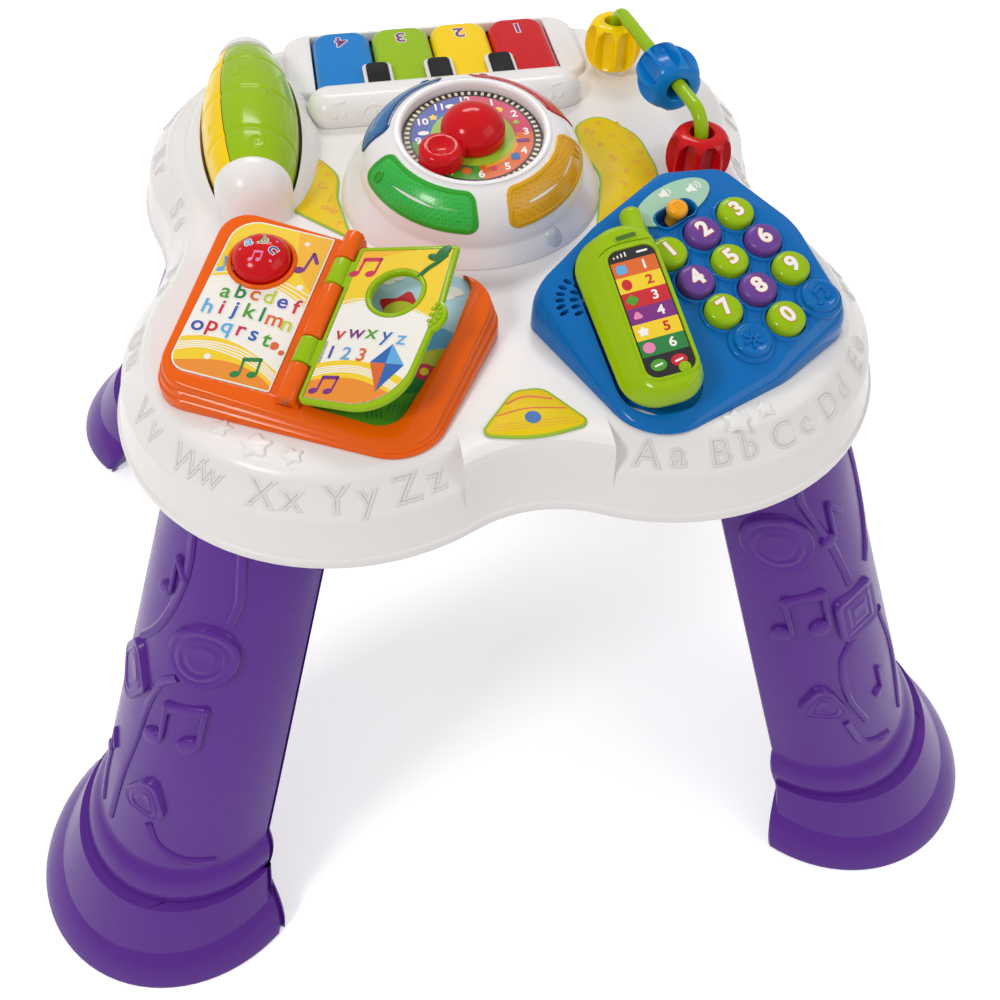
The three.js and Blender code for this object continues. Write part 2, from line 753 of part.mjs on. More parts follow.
const doorHalfX = battery.cellLength / 2 + battery.boxWall + batteryDoor.ledge
const doorHalfY = battery.cellPitch / 2 + battery.cellRadius + battery.boxWall + batteryDoor.ledge
const doorTop = plateBottom + batteryDoor.thickness
const cellHeight = doorTop + seatGap + battery.cellRadius

function legSocket(place) {
  const around = (inset, z) => legRing(place, legTop, leg.topHalf, inset).map((p) => p.clone().setZ(z))
  const hole = leg.tenonStep - seatGap
  const wall = hole - base.socketWall
  const top = plateTop + base.socketHeight
  const outer = solidOf(loft([around(wall, plateBottom + base.thickness / 2), around(wall, top)]))
  const inner = solidOf(loft([around(hole, plateBottom - overrun), around(hole, top - base.socketWall)]))
  return { outer, inner }
}

function bottomShell() {
  const plate = solidOf(layered(tableOutline, [
    [shellWall + seatGap, plateBottom],
    [shellWall + seatGap, plateTop],
  ]))
  const sockets = legPlaces.map(legSocket)
  const posts = [-1, 1].flatMap((side) => [postPlaces.frontY, postPlaces.rearY].map((y) => {
    return solidOf(rod(base.postRadius, plateTop - base.thickness / 2, deckUnderside - seatGap, 6).translate(side * postPlaces.x, y, 0))
  }))
  const boardPosts = [-1, 1].flatMap((sideX) => [-1, 1].map((sideY) => {
    const x = sideX * (board.width / 2 - board.postRadius * 2)
    const y = board.y + sideY * (board.depth / 2 - board.postRadius * 2)
    return solidOf(rod(board.postRadius, plateTop - base.thickness / 2, plateTop + board.rise - seatGap, 6).translate(x, y, 0))
  }))
  const boxX = battery.cellLength / 2 + battery.boxWall
  const boxY = battery.cellPitch / 2 + battery.cellRadius + battery.boxWall
  const boxTop = plateTop + battery.boxHeight
  const box = block(-boxX, boxX, battery.y - boxY, battery.y + boxY, plateBottom + base.thickness / 2, boxTop)
  const inX = boxX - battery.boxWall + seatGap
  const inY = boxY - battery.boxWall + seatGap
  const room = block(-inX, inX, battery.y - inY, battery.y + inY, plateBottom - overrun, boxTop - battery.boxWall)
  const doorX = doorHalfX + seatGap
  const doorY = doorHalfY + seatGap
  const doorRoom = block(-doorX, doorX, battery.y - doorY, battery.y + doorY, plateBottom - overrun, doorTop + seatGap)
  const doorFrame = block(
    -doorX - batteryDoor.ledge, doorX + batteryDoor.ledge,
    battery.y - doorY - batteryDoor.ledge, battery.y + doorY + batteryDoor.ledge,
    plateBottom, plateTop + base.thickness,
  )
  const body = joined(plate, ...sockets.map((s) => s.outer), ...posts, ...boardPosts, solidOf(box), solidOf(doorFrame))
  return cut(body, ...sockets.map((s) => s.inner), solidOf(room), solidOf(doorRoom))
}

function batteryDoorSolid() {
  const door = block(-doorHalfX, doorHalfX, battery.y - doorHalfY, battery.y + doorHalfY, plateBottom, doorTop)
  const grip = rodAlongX(batteryDoor.ledge, -doorHalfX / 3, doorHalfX / 3, 12, battery.y, plateBottom - batteryDoor.ledge * 0.7)
  return cut(solidOf(door), solidOf(grip))
}

function cellSolid(side) {
  const half = battery.cellLength / 2
  const y = battery.y + (side * battery.cellPitch) / 2
  const can = solidOf(rodAlongX(battery.cellRadius, -half, half - battery.boxWall, 12, y, cellHeight))
  const tip = solidOf(rodAlongX(battery.cellRadius / 3, 0, half, 6, y, cellHeight))
  return joined(can, tip)
}

function boardSolid() {
  const low = plateTop + board.rise
  const plate = block(-board.width / 2, board.width / 2, board.y - board.depth / 2, board.y + board.depth / 2, low, low + board.thickness)
  const chip = block(-board.depth / 6, board.depth / 6, board.y - board.depth / 6, board.y + board.depth / 6, low, low + board.thickness * 2)
  return joined(solidOf(plate), solidOf(chip))
}

function speakerSolid() {
  const top = deckUnderside - seatGap
  const profile = [
    [0, top - speaker.rimHeight * 1.6],
    [speaker.radius * 0.3, top - speaker.rimHeight * 1.6],
    [speaker.radius * 0.84, top],
    [speaker.radius, top],
    [speaker.radius, top - speaker.rimHeight],
    [speaker.magnetRadius, top - speaker.depth],
    [speaker.magnetRadius, top - speaker.depth - speaker.magnetDepth],
    [0, top - speaker.depth - speaker.magnetDepth],
  ]
  return solidOf(revolved(profile, 16).translate(speaker.x, speaker.y, 0))
}

// Roller

function rollerTube() {
  const bore = roller.axleRadius + runningGap
  const half = roller.halfLength
  const grooved = [-1, 0, 1].flatMap((k) => {
    const along = k * roller.groovePitch
    const edge = (side) => [barrelRadius(along + side * roller.grooveWidth), along + side * roller.grooveWidth]
    return [edge(-1), [barrelRadius(along) - roller.grooveDepth, along], edge(1)]
  })
  const plain = [-1, -0.3, 0.3, 1].map((share) => [barrelRadius(half * share), half * share])
  const outer = [...grooved, ...plain].sort((a, b) => a[1] - b[1])
  const inner = [1, 0, -1].map((share) => {
    const along = (half - roller.wall) * share
    return [barrelRadius(along) - roller.wall, along]
  })
  const low = [bore, -half]
  return solidOf(revolved([low, ...outer, [bore, half], [bore, half - roller.wall], ...inner, [bore, roller.wall - half], low], 16))
}

// Half of the barrel on one side of the seam plane through its axis
function rollerHalf(upper) {
  const reach = roller.radius + overrun
  const length = roller.halfLength + overrun
  const low = upper ? seatGap / 2 : -reach
  const high = upper ? reach : -seatGap / 2
  const keep = new THREE.BoxGeometry(reach * 2, high - low, length * 2).translate(0, (low + high) / 2, 0)
  const seam = keep.rotateZ(-QUARTER_TURN + roller.seamAngle * DEGREE)
  const half = rollerTube().intersect(solidOf(seam))
  return solidOf(onRollerAxis(geometryOf(half)))
}

// Piano

function keySolid(index) {
  const half = (piano.keyPitch - piano.keyGap) / 2
  const middle = (index - 1.5) * piano.keyPitch
  const corners = [
    [middle - half, piano.frontY, piano.frontCorner],
    [middle + half, piano.frontY, piano.frontCorner],
    [middle + half, piano.rearY, piano.rearCorner],
    [middle - half, piano.rearY, piano.rearCorner],
  ]
  const outlineAt = (inset) => roundedPolygon(corners, inset, 2)
  const top = deckHeight + piano.keyAbove
  const low = deckHeight - piano.keyBelow
  const body = solidOf(layered(outlineAt, [[0, low], ...roundedEdge(piano.keyEdge, top, 2)]))
  const hollow = solidOf(prism(outlineAt(piano.keyWall), low - overrun, top - piano.keyWall * 2))
  const behind = solidOf(block(
    middle - piano.keyPitch, middle + piano.keyPitch,
    piano.rodY + piano.barrelRadius + piano.keyWall, piano.rearY, low - overrun, top,
  ))
  const barrel = solidOf(rodAlongX(piano.barrelRadius, middle - half, middle + half, 12, piano.rodY, rodHeight))
  const bore = solidOf(rodAlongX(
    piano.rodRadius + seatGap, middle - half - overrun, middle + half + overrun, 8, piano.rodY, rodHeight,
  ))
  return cut(joined(cut(body, hollow.intersect(behind)), barrel), bore)
}

const barTop = deckHeight + bar.height
const tabBottom = deckHeight + piano.keyAbove + seatGap * 3
const tabTop = tabBottom + blackPad.tabThickness
const padFront = bar.rearY - bar.edge / 4
const padRear = padFront + blackPad.length

function padOutline(k, margin, front) {
  const half = blackPad.width / 2 + margin
  const rear = padRear + margin
  return roundedRectangle(half, (rear - front) / 2, blackPad.corner, 0, 2, k * piano.keyPitch, (rear + front) / 2)
}

function barOutline(inset) {
  const middle = (bar.frontY + bar.rearY) / 2
  const halfDepth = (bar.rearY - bar.frontY) / 2
  return roundedRectangle(bar.halfLength, halfDepth, halfDepth - seatGap, inset, 5, 0, middle)
}

function barSolid() {
  const middle = (bar.frontY + bar.rearY) / 2
  const body = solidOf(layered(barOutline, [[0, deckHeight + seatGap], ...roundedEdge(bar.edge, barTop, 3)]))
  const tabs = [-1, 0, 1].map((k) => {
    return solidOf(prism(padOutline(k, blackPad.tabMargin, middle), tabBottom, tabTop))
  })
  const channel = block(
    -windowHalf, windowHalf, windowFront, bar.rearY + overrun * 3, deckHeight - overrun, deckHeight + bar.channelHeight,
  )
  return cut(joined(body, ...tabs), solidOf(channel))
}

// The pads rest on the tabs, behind the bar's round edge
function blackPadSolid(k) {
  const front = bar.rearY + seatGap
  return solidOf(prism(padOutline(k, 0, front), tabTop + seatGap, tabTop + seatGap + blackPad.thickness))
}

// Clock dome, in its own leaning frame

const domeSides = 24
const shoulderX = dome.wallRadius - dome.shoulderRadius
const shoulderZ = dome.height - dome.shoulderRadius
const dialFloor = dome.height - dome.dialDrop - dial.thickness - seatGap

// A point of the shoulder's round, by angle from level, moved out by extra
function shoulderPoint(angle, extra) {
  const radius = dome.shoulderRadius + extra
  return [shoulderX + radius * Math.cos(angle * DEGREE), shoulderZ + radius * Math.sin(angle * DEGREE)]
}

function shoulderArc(from, to, extra, steps) {
  const points = []
  for (let i = 0; i <= steps; i++) points.push(shoulderPoint(from + ((to - from) * i) / steps, extra))
  return points
}

function domeBody() {
  const inner = -dome.wall
  const recess = dome.dialRadius + seatGap
  const hole = knob.shaftRadius + runningGap
  const profile = [
    [dome.footRadius, -overrun],
    ...domeFootShares.map(([rise, flare]) => [dome.wallRadius + (dome.footRadius - dome.wallRadius) * flare, shoulderZ * rise]),
    ...shoulderArc(0, dome.shoulderTo, 0, 4),
    [recess, dome.height - dome.dialDrop / 2],
    [recess, dialFloor],
    [hole, dialFloor],
    [hole, dialFloor - dome.wall],
    [recess, dialFloor - dome.wall],
    ...shoulderArc(dome.shoulderInsideTo, 0, inner, 2),
    [dome.footRadius - dome.wall * 1.5, -overrun],
    [dome.footRadius, -overrun],
  ]
  return solidOf(revolved(profile, domeSides))
}

function lensBand(extraOut, extraIn, margin) {
  const along = margin / dome.shoulderRadius / DEGREE
  const profile = [
    ...shoulderArc(lens.fromAngle + along, lens.toAngle - along, extraOut, 3),
    ...shoulderArc(lens.toAngle - along, lens.fromAngle + along, extraIn, 3),
  ]
  return solidOf(revolved([...profile, profile[0]], domeSides))
}

const lensPlaces = [
  { name: 'lens_rear_right', quarter: 0, hex: colour.lensRed },
  { name: 'lens_rear_left', quarter: 1, hex: colour.lensBlue },
  { name: 'lens_front_left', quarter: 2, hex: colour.lensGreen },
  { name: 'lens_front_right', quarter: 3, hex: colour.amber },
]

// One of the four corners that the cross of straight gaps leaves
function lensCorner(quarter, margin) {
  const near = lens.gapWidth / 2 + margin
  const far = dome.footRadius * 2
  return solidOf(block(near, far, near, far, -overrun, far).rotateZ(quarter * QUARTER_TURN + dome.turn * DEGREE))
}

function lensSolid(place) {
  return lensBand(lens.proud, lens.proud - lens.thickness, seatGap).intersect(lensCorner(place.quarter, seatGap))
}

// The deck's plane as the leaning dome sees it
function belowDeck() {
  const reach = dome.footRadius * 2
  const plane = block(-reach, reach, -reach, reach, -reach, seatGap)
  return solidOf(plane.rotateX(-dome.lean * DEGREE))
}

function domeSolid() {
  const bumpAngle = sensorBump.angle * DEGREE
  const bump = new THREE.SphereGeometry(1, 10, 6)
    .scale(sensorBump.depth, sensorBump.width, sensorBump.height)
    .translate(sensorBump.reach, 0, sensorBump.rise)
    .rotateZ(bumpAngle)
  const hollow = solidOf(rod(dome.wallRadius - dome.wall, -overrun, shoulderZ, 14))
  const body = joined(domeBody(), cut(solidOf(bump), hollow))
  const windows = lensPlaces.map((place) => lensBand(dome.wall * 2, -dome.wall * 2, 0).intersect(lensCorner(place.quarter, 0)))
  return cut(body, ...windows, belowDeck())
}

function dialSolid() {
  const low = dialFloor + seatGap
  const disc = solidOf(rod(dome.dialRadius, low, low + dial.thickness, domeSides))
  return cut(disc, solidOf(rod(knob.shaftRadius + runningGap, low - overrun, low + overrun, 12)))
}

function knobSolid() {
  const bottom = dialFloor + seatGap + dial.thickness + runningGap
  const edge = [0, 1, 2, 3].map((i) => (QUARTER_TURN * i) / 4)
  const domeHeight = knob.height * 0.72
  const profile = [
    [0, bottom - knob.shaftLength],
    [knob.shaftRadius, bottom - knob.shaftLength],
    [knob.shaftRadius, bottom],
    [knob.radius, bottom],
    ...edge.map((a) => [knob.radius * Math.cos(a), bottom + knob.height - domeHeight + domeHeight * Math.sin(a)]),
    [0, bottom + knob.height],
  ]
  const body = solidOf(revolved(profile, 18))
  const padLow = bottom
  const padTop = padLow + knob.padHeight
  const padAt = (inset) => circle(knob.padRadius - inset, 16, knob.armReach, 0)
  const pad = solidOf(layered(padAt, [[0, padLow], ...roundedEdge(knob.padHeight / 3, padTop, 1)]))
  const neck = solidOf(block(0, knob.armReach, -knob.neckWidth / 2, knob.neckWidth / 2, padLow, padTop - knob.dimpleDepth / 2))
  const ballRadius = (knob.dimpleRadius ** 2 + knob.dimpleDepth ** 2) / (2 * knob.dimpleDepth)
  const ball = new THREE.SphereGeometry(ballRadius, 12, 16).translate(knob.armReach, 0, padTop + ballRadius - knob.dimpleDepth)
  return cut(joined(body, neck, pad), solidOf(ball))
}

// Book, in its turned frame, z = 0 at the deck

// A plane that leans towards the child, whichever way the piece on it is turned
function leaningPlane(place) {
  const turn = place.turn * DEGREE
  const slope = Math.tan(place.lean * DEGREE)
  const matrix = new THREE.Matrix4().makeTranslation(0, 0, place.height)
  matrix.multiply(new THREE.Matrix4().makeRotationZ(-turn))
  matrix.multiply(new THREE.Matrix4().makeRotationX(place.lean * DEGREE))
  matrix.multiply(new THREE.Matrix4().makeRotationZ(turn))
  const height = (x, y) => place.height + slope * (x * Math.sin(turn) + y * Math.cos(turn))
  return { matrix, height }
}

const bookPlane = leaningPlane(book)

// Moves a geometry from the leaning top's frame to the book's frame
function onBookTop(geometry) {
  return geometry.applyMatrix4(bookPlane.matrix)
}

function bookOutline(inset) {
  return roundedPolygon(bookFootCorners, inset, 3)
}

// A card outline on one side of the spine
function bookCardOutline(side, inset) {
  return roundedPolygon(side > 0 ? rightCardCorners : leftCardCorners, inset, 3)
}

function knuckle(from, to) {
  const [y0, y1] = [from * book.halfDepth + seatGap, to * book.halfDepth - seatGap]
  const tube = rodAlongY(book.spineRadius, y0, y1, 12, 0, book.spineRise)
  return { tube: solidOf(onBookTop(tube)), y0, y1 }
}

const knuckleSpans = knuckleEndShares.slice(1).map((to, i) => ({ from: knuckleEndShares[i], to, fixed: i % 2 === 0 }))
const spineFrom = knuckleEndShares[0] * book.halfDepth
const spineTo = knuckleEndShares.at(-1) * book.halfDepth

function bookBase() {
  const layers = bookStepShares.map(([inward, rise]) => {
    const height = (x, y) => seatGap + (bookPlane.height(x, y) - seatGap) * rise
    return ringAt(bookOutline(book.stepInset * inward), height)
  })
  const outer = solidOf(loft(layers))
  const under = (x, y) => bookPlane.height(x, y) - book.pageRecess - book.wall
  const cavityRing = bookOutline(book.stepInset + book.wall)
  const cavity = solidOf(loft([ringAt(cavityRing, -overrun), ringAt(cavityRing, under)]))
  const leftRoom = solidOf(onBookTop(prism(bookCardOutline(-1, -seatGap), -book.cardThickness, overrun)))
  const rightRoom = solidOf(onBookTop(prism(bookCardOutline(1, -seatGap), -book.pageRecess, overrun)))
  const knuckles = knuckleSpans.filter((s) => s.fixed).flatMap((s) => {
    const k = knuckle(s.from, s.to)
    const foot = block(-book.spineRadius, book.spineRadius, k.y0, k.y1, -book.wall / 2, book.spineRise)
    return [k.tube, solidOf(onBookTop(foot))]
  })
  const gapRooms = knuckleSpans.filter((s) => !s.fixed).map((s) => {
    const [y0, y1] = [s.from * book.halfDepth, s.to * book.halfDepth]
    return solidOf(onBookTop(rodAlongY(book.spineRadius + runningGap, y0, y1, 12, 0, book.spineRise)))
  })
  const bezelRadius = letterButton.radius + letterButton.bezel
  const bezel = rod(bezelRadius, -book.wall / 2, letterButton.bezelHeight, 18).translate(letterButton.x, letterButton.y, 0)
  const bore = rod(letterButton.radius + runningGap, -letterButton.skirt - letterButton.travel - runningGap, overrun, 18)
    .translate(letterButton.x, letterButton.y, 0)
  const pin = rodAlongY(book.pinRadius + seatGap, spineFrom - overrun, spineTo + overrun, 8, 0, book.spineRise)
  return cut(
    joined(cut(outer, cavity, leftRoom, rightRoom, ...gapRooms), ...knuckles, solidOf(onBookTop(bezel))),
    solidOf(onBookTop(bore)),
    solidOf(onBookTop(pin)),
  )
}

function leftCard() {
  const low = seatGap - book.cardThickness
  const card = solidOf(prism(bookCardOutline(-1, 0), low, low + book.cardThickness))
  const hole = rod(letterButton.radius + letterButton.bezel + seatGap, -overrun, overrun, 18).translate(letterButton.x, letterButton.y, 0)
  return cut(card, solidOf(hole))
}

function rightCard() {
  const low = seatGap - book.pageRecess
  return solidOf(prism(bookCardOutline(1, 0), low, low + book.cardThickness))
}

// The page lies along +X from the pin, in a frame whose origin is on the pin
function pageOutline(inset) {
  return roundedPolygon(pageCorners, inset, 3)
}

const pageLow = -page.thickness / 2
const pageHigh = page.thickness / 2
const pageFloor = pageHigh - page.recess

function pageSolid() {
  const plate = solidOf(prism(pageOutline(0), pageLow, pageHigh))
  const tab = solidOf(rod(page.tabRadius, pageLow, pageHigh, 12).translate(page.tabX, page.tabY, 0))
  const recess = solidOf(prism(pageOutline(page.frame), pageFloor, pageHigh + overrun))
  const rim = solidOf(rod(page.holeRadius + page.holeRim, pageLow, pageHigh + page.recess / 2, 18).translate(page.holeX, page.holeY, 0))
  const hole = solidOf(rod(page.holeRadius, -overrun, overrun, 18).translate(page.holeX, page.holeY, 0))
  const tubes = knuckleSpans.filter((s) => !s.fixed).flatMap((s) => {
    const [y0, y1] = [s.from * book.halfDepth + seatGap, s.to * book.halfDepth - seatGap]
    const arm = block(0, page.armReach, y0, y1, pageLow, pageHigh)
    return [solidOf(rodAlongY(book.spineRadius, y0, y1, 12, 0, 0)), solidOf(arm)]
  })
  const pin = rodAlongY(book.pinRadius + seatGap, spineFrom - overrun, spineTo + overrun, 8, 0, 0)
  return cut(joined(cut(joined(plate, tab), recess), rim, ...tubes), hole, solidOf(pin))
}

function pageCard() {
  const low = pageFloor + seatGap
  const card = solidOf(prism(pageOutline(page.frame + seatGap), low, low + page.cardThickness))
  const hole = solidOf(rod(page.holeRadius + page.holeRim + seatGap, -overrun, overrun, 18).translate(page.holeX, page.holeY, 0))
  const arms = knuckleSpans.filter((s) => !s.fixed).map((s) => {
    const [y0, y1] = [s.from * book.halfDepth, s.to * book.halfDepth]
    return solidOf(block(0, page.armReach + seatGap, y0, y1, -overrun, overrun))
  })
  return cut(card, hole, ...arms)
}

function letterButtonSolid() {
  const { radius, rise, skirt } = letterButton
  const profile = [[0, -skirt], [radius, -skirt], [radius, rise * 0.2]]
  for (let i = 1; i < 4; i++) {
    const angle = (QUARTER_TURN * i) / 4
    profile.push([radius * Math.cos(angle), rise * 0.2 + rise * 0.8 * Math.sin(angle)])
  }
  profile.push([0, rise])
  return solidOf(revolved(profile, 18))
}

// Telephone, in its turned frame, z = 0 at the deck

const phonePlane = leaningPlane(phone)
const phoneCornerSteps = 2

function onPhoneTop(geometry) {
  return geometry.applyMatrix4(phonePlane.matrix)
}

function phoneRing(rise, inward, inset, drop) {
  const foot = roundedPolygon(phoneFootCorners, inset, phoneCornerSteps)
  const top = roundedPolygon(phoneTopCorners, inset, phoneCornerSteps)
  return foot.map((p, i) => {
    const x = p.x + (top[i].x - p.x) * inward
    const y = p.y + (top[i].y - p.y) * inward
    return new THREE.Vector3(x, y, seatGap + (phonePlane.height(x, y) - drop - seatGap) * rise)
  })
}

const phoneKeyPlaces = phoneKeyNames.map((name, i) => ({
  name,
  x: ((i % 3) - 1) * phone.keyPitchX,
  y: (1 - Math.floor(i / 3)) * phone.keyPitchY,
}))
const isBoss = (place) => place.name === 'star' || place.name === 'note'

// The handset's outline at its face, and lower down where the left side bulges
function handsetOutline(inset, belly = 0) {
  const { left, right, halfLength, topLength, corner, topCorner } = handset
  const corners = [
    [-left - belly * 0.8, -halfLength, corner + belly / 2],
    [right, -halfLength, corner],
    [right, topLength, topCorner],
    [-left - belly * 1.5, topLength, corner + belly],
  ]
  return roundedPolygon(corners, inset, 3)
}

// The face's frame as seen from the table, and from the phone's own frame
const handsetMatrix = new THREE.Matrix4().makeTranslation(
  phone.x + handset.fromPhoneX, phone.y + handset.fromPhoneY, deckHeight + handset.rise,
)
handsetMatrix.multiply(new THREE.Matrix4().makeRotationX(handset.lean * DEGREE))
handsetMatrix.multiply(new THREE.Matrix4().makeRotationY(handset.sideLean * DEGREE))
handsetMatrix.multiply(new THREE.Matrix4().makeRotationZ(handset.turn * DEGREE))
const phoneMatrix = new THREE.Matrix4().makeTranslation(phone.x, phone.y, deckHeight)
phoneMatrix.multiply(new THREE.Matrix4().makeRotationZ(phone.turn * DEGREE))
const handsetInPhone = phoneMatrix.clone().invert().multiply(handsetMatrix)

function onHandset(geometry) {
  return geometry.applyMatrix4(handsetInPhone)
}

function keyRing(place, radius, low, high, steps) {
  return onPhoneTop(rod(radius, low, high, steps).translate(place.x, place.y, 0))
}

function speakerHoleSolids() {
  return speakerHolePlaces.map(([x, y]) => {
    return solidOf(onPhoneTop(rod(speakerHoleRadius, -phone.height, overrun, 6).translate(x, y, 0)))
  })
}

// Everything above the slope that carries the handset
function aboveHandsetSlope() {
  const slope = handset.sunk - handset.thickness
  const far = handset.halfLength * 3
  return solidOf(onHandset(block(-far, handset.right + runningGap * 2, -far, far, slope, far)))
}

function phoneBase() {
  const outer = solidOf(loft(phoneWallShares.map(([rise, inward]) => phoneRing(rise, inward, 0, 0))))
  const cavity = cut(
    solidOf(loft([
      phoneRing(0, 0, phone.wall, 0).map((p) => p.setZ(-overrun)),
      ...phoneWallShares.slice(1).map(([rise, inward]) => phoneRing(rise, inward, phone.wall, phone.wall)),
    ])),
    solidOf(onHandset(block(
      -handset.halfLength * 3, handset.right + phone.wall, -handset.halfLength * 3, handset.halfLength * 3,
      handset.sunk - handset.thickness - phone.wall, handset.thickness,
    ))),
    solidOf(onHandset(prism(
      handsetOutline(-runningGap - phone.wall, handset.belly), -handset.thickness - seatGap - phone.wall, handset.thickness,
    ))),
  )
  const cradleRoom = solidOf(onHandset(prism(handsetOutline(-runningGap, handset.belly), -handset.thickness - seatGap, overrun)))
  const aerialRoom = solidOf(onHandset(rodAlongY(
    handset.aerialRadius + runningGap, 0, handset.topLength + handset.aerialLength + runningGap, 12,
    handset.aerialX, -handset.thickness / 2,
  )))
  const bosses = phoneKeyPlaces.filter(isBoss).flatMap((place) => [
    solidOf(keyRing(place, phone.keyRadius + phone.bossRim, -phone.wall / 2, phone.bossRim, 12)),
    solidOf(keyRing(place, phone.keyRadius, 0, phone.keyRise * 0.75, 12)),
  ])
  const keyHoles = phoneKeyPlaces.filter((place) => !isBoss(place)).map((place) => {
    return solidOf(keyRing(place, phone.keyRadius + runningGap, -phone.height, overrun, 10))
  })
  const slotHalf = volume.travel + volume.radius + runningGap
  const slotDepth = volume.radius + runningGap
  const slot = roundedRectangle(slotHalf, slotDepth, slotDepth - seatGap, 0, 3, volume.x, volume.y)
  return cut(
    joined(cut(outer, cavity), ...bosses),
    aboveHandsetSlope(),
    cradleRoom,
    aerialRoom,
    ...keyHoles,
    solidOf(onPhoneTop(prism(slot, -phone.wall * 3, overrun))),
    ...speakerHoleSolids(),
  )
}

function phoneKeySolid(place) {
  const top = phone.keyRise
  const profile = [
    [0, -phone.keySkirt],
    [phone.keyRadius, -phone.keySkirt],
    [phone.keyRadius, top * 0.66],
    [phone.keyRadius * 0.82, top * 0.93],
    [0, top],
  ]
  return solidOf(revolved(profile, 12).translate(place.x, place.y, 0))
}

// The handset in the frame of its face, which is at height zero
function handsetSolid() {
  const { thickness, edge, halfLength, topLength, belly } = handset
  const ring = (inset, share, height) => ringAt(handsetOutline(inset, belly * share), height)
  const body = solidOf(loft([
    ring(edge * 1.7, 1, -thickness),
    ring(edge * 0.6, 1, -thickness * 0.7),
    ring(0, 0.95, -thickness * 0.45),
    ring(edge * 0.1, 0.5, -edge),
    ring(edge * 0.4, 0.1, -edge * 0.3),
    ring(edge, 0, 0),
  ]))
  const aerial = rodAlongY(handset.aerialRadius, halfLength / 2, topLength + handset.aerialLength, 12, handset.aerialX, -thickness / 2)
  const room = solidOf(prism(screenOutline(-seatGap), -handset.screenDepth, overrun))
  return cut(joined(body, solidOf(aerial)), room)
}

function screenOutline(inset) {
  return roundedRectangle(
    handset.screenHalfWidth, handset.screenHalfLength, handset.screenCorner, inset, 3, 0, handset.screenY,
  )
}

function screenSolid() {
  return solidOf(prism(screenOutline(0), seatGap - handset.screenDepth, 0))
}

function volumeKnobSolid() {
  const { radius, rise, skirt } = volume
  const profile = [[0, -skirt], [radius, -skirt], [radius, rise * 0.8], [radius * 0.75, rise], [0, rise]]
  return solidOf(revolved(profile, 12).translate(volume.x, volume.y, 0))
}

function volumePlateSolid() {
  const plate = prism(ellipse(volume.plateHalfWidth, volume.plateHalfDepth, 20), seatGap, seatGap + volume.plateThickness)
  const placed = plate.rotateZ(volume.plateTurn * DEGREE).translate(volume.plateX, volume.plateY, 0)
  const slotHalf = volume.travel + volume.radius + volume.slotMargin
  const slotDepth = volume.radius + volume.slotMargin
  const slot = roundedRectangle(slotHalf, slotDepth, slotDepth - seatGap, 0, 3, volume.x, volume.y)
  const keys = phoneKeyPlaces.map((key) => {
    return solidOf(rod(phone.keyRadius + phone.bossRim, -overrun, overrun, 12).translate(key.x, key.y, 0))
  })
  return cut(solidOf(placed), solidOf(prism(slot, -overrun, overrun)), ...keys)
}

// Bead rail

const railRear = new THREE.Vector3(rail.rearX, rail.rearY, 0)
const railFront = new THREE.Vector3(rail.frontX, rail.frontY, 0)
const railRun = railFront.clone().sub(railRear)
const railAlong = railRun.clone().normalize()
const railTop = deckHeight + rail.height

// A tube along a path of [share of the run, height, lean of the ring in quarter turns]
function railSolid() {
  const low = deckUnderside - rail.below
  const length = railRun.length()
  const bendSteps = 4
  const stations = [[0, low, 0]]
  for (let i = 0; i <= bendSteps; i++) {
    const angle = (QUARTER_TURN * i) / bendSteps
    stations.push([rail.bend * (1 - Math.cos(angle)), railTop - rail.bend * (1 - Math.sin(angle)), angle])
  }
  const mirrored = stations.map(([along, height, angle]) => [length - along, height, Math.PI - angle]).reverse()
  const across = new THREE.Vector3(-railAlong.y, railAlong.x, 0)
  const up = new THREE.Vector3(0, 0, 1)
  const sides = 12
  const rings = [...stations, ...mirrored].map(([along, height, angle]) => {
    const centre = railRear.clone().addScaledVector(railAlong, along).setZ(height)
    const normal = railAlong.clone().multiplyScalar(Math.cos(angle)).addScaledVector(up, -Math.sin(angle))
    return circle(rail.radius, sides).map((p) => centre.clone().addScaledVector(normal, p.x).addScaledVector(across, p.y))
  })
  return solidOf(sweep(rings))
}

// A fluted bead about +Z, its middle at the origin
function beadSolid() {
  const { radius, halfHeight, endRadius, bore, ribs, rimHeight } = bead
  const profile = [[bore, -halfHeight], [endRadius, -halfHeight]]
  for (let i = 0; i <= 3; i++) {
    const share = (2 * i) / 3 - 1
    const wide = endRadius + (radius - endRadius) * Math.sqrt(1 - (share * 0.98) ** 2)
    profile.push([wide, share * (halfHeight - runningGap)])
  }
  profile.push([endRadius, halfHeight], [bore, halfHeight], [bore, -halfHeight])
  const barrel = solidOf(revolved(profile, ribs * 2))
  const tall = halfHeight - rimHeight
  const pockets = []
  for (let i = 0; i < ribs; i++) {
    const half = Math.PI / ribs
    const inner = new THREE.Vector2(bead.coreRadius, bead.coreRadius * Math.tan(half) - bead.ribWidth / 2)
    const outer = new THREE.Vector2(radius + overrun, (radius + overrun) * Math.tan(half) - bead.ribWidth / 2)
    const outline = [[inner.x, -inner.y], [outer.x, -outer.y], [outer.x, outer.y], [inner.x, inner.y]]
    const pocket = prism(outline.map(([x, y]) => new THREE.Vector2(x, y)), -tall, tall)
    pockets.push(solidOf(pocket.rotateZ((FULL_TURN * i) / ribs)))
  }
  return cut(barrel, ...pockets)
}

// Assembly

const table = new THREE.Group()
const white = plastic(colour.white)

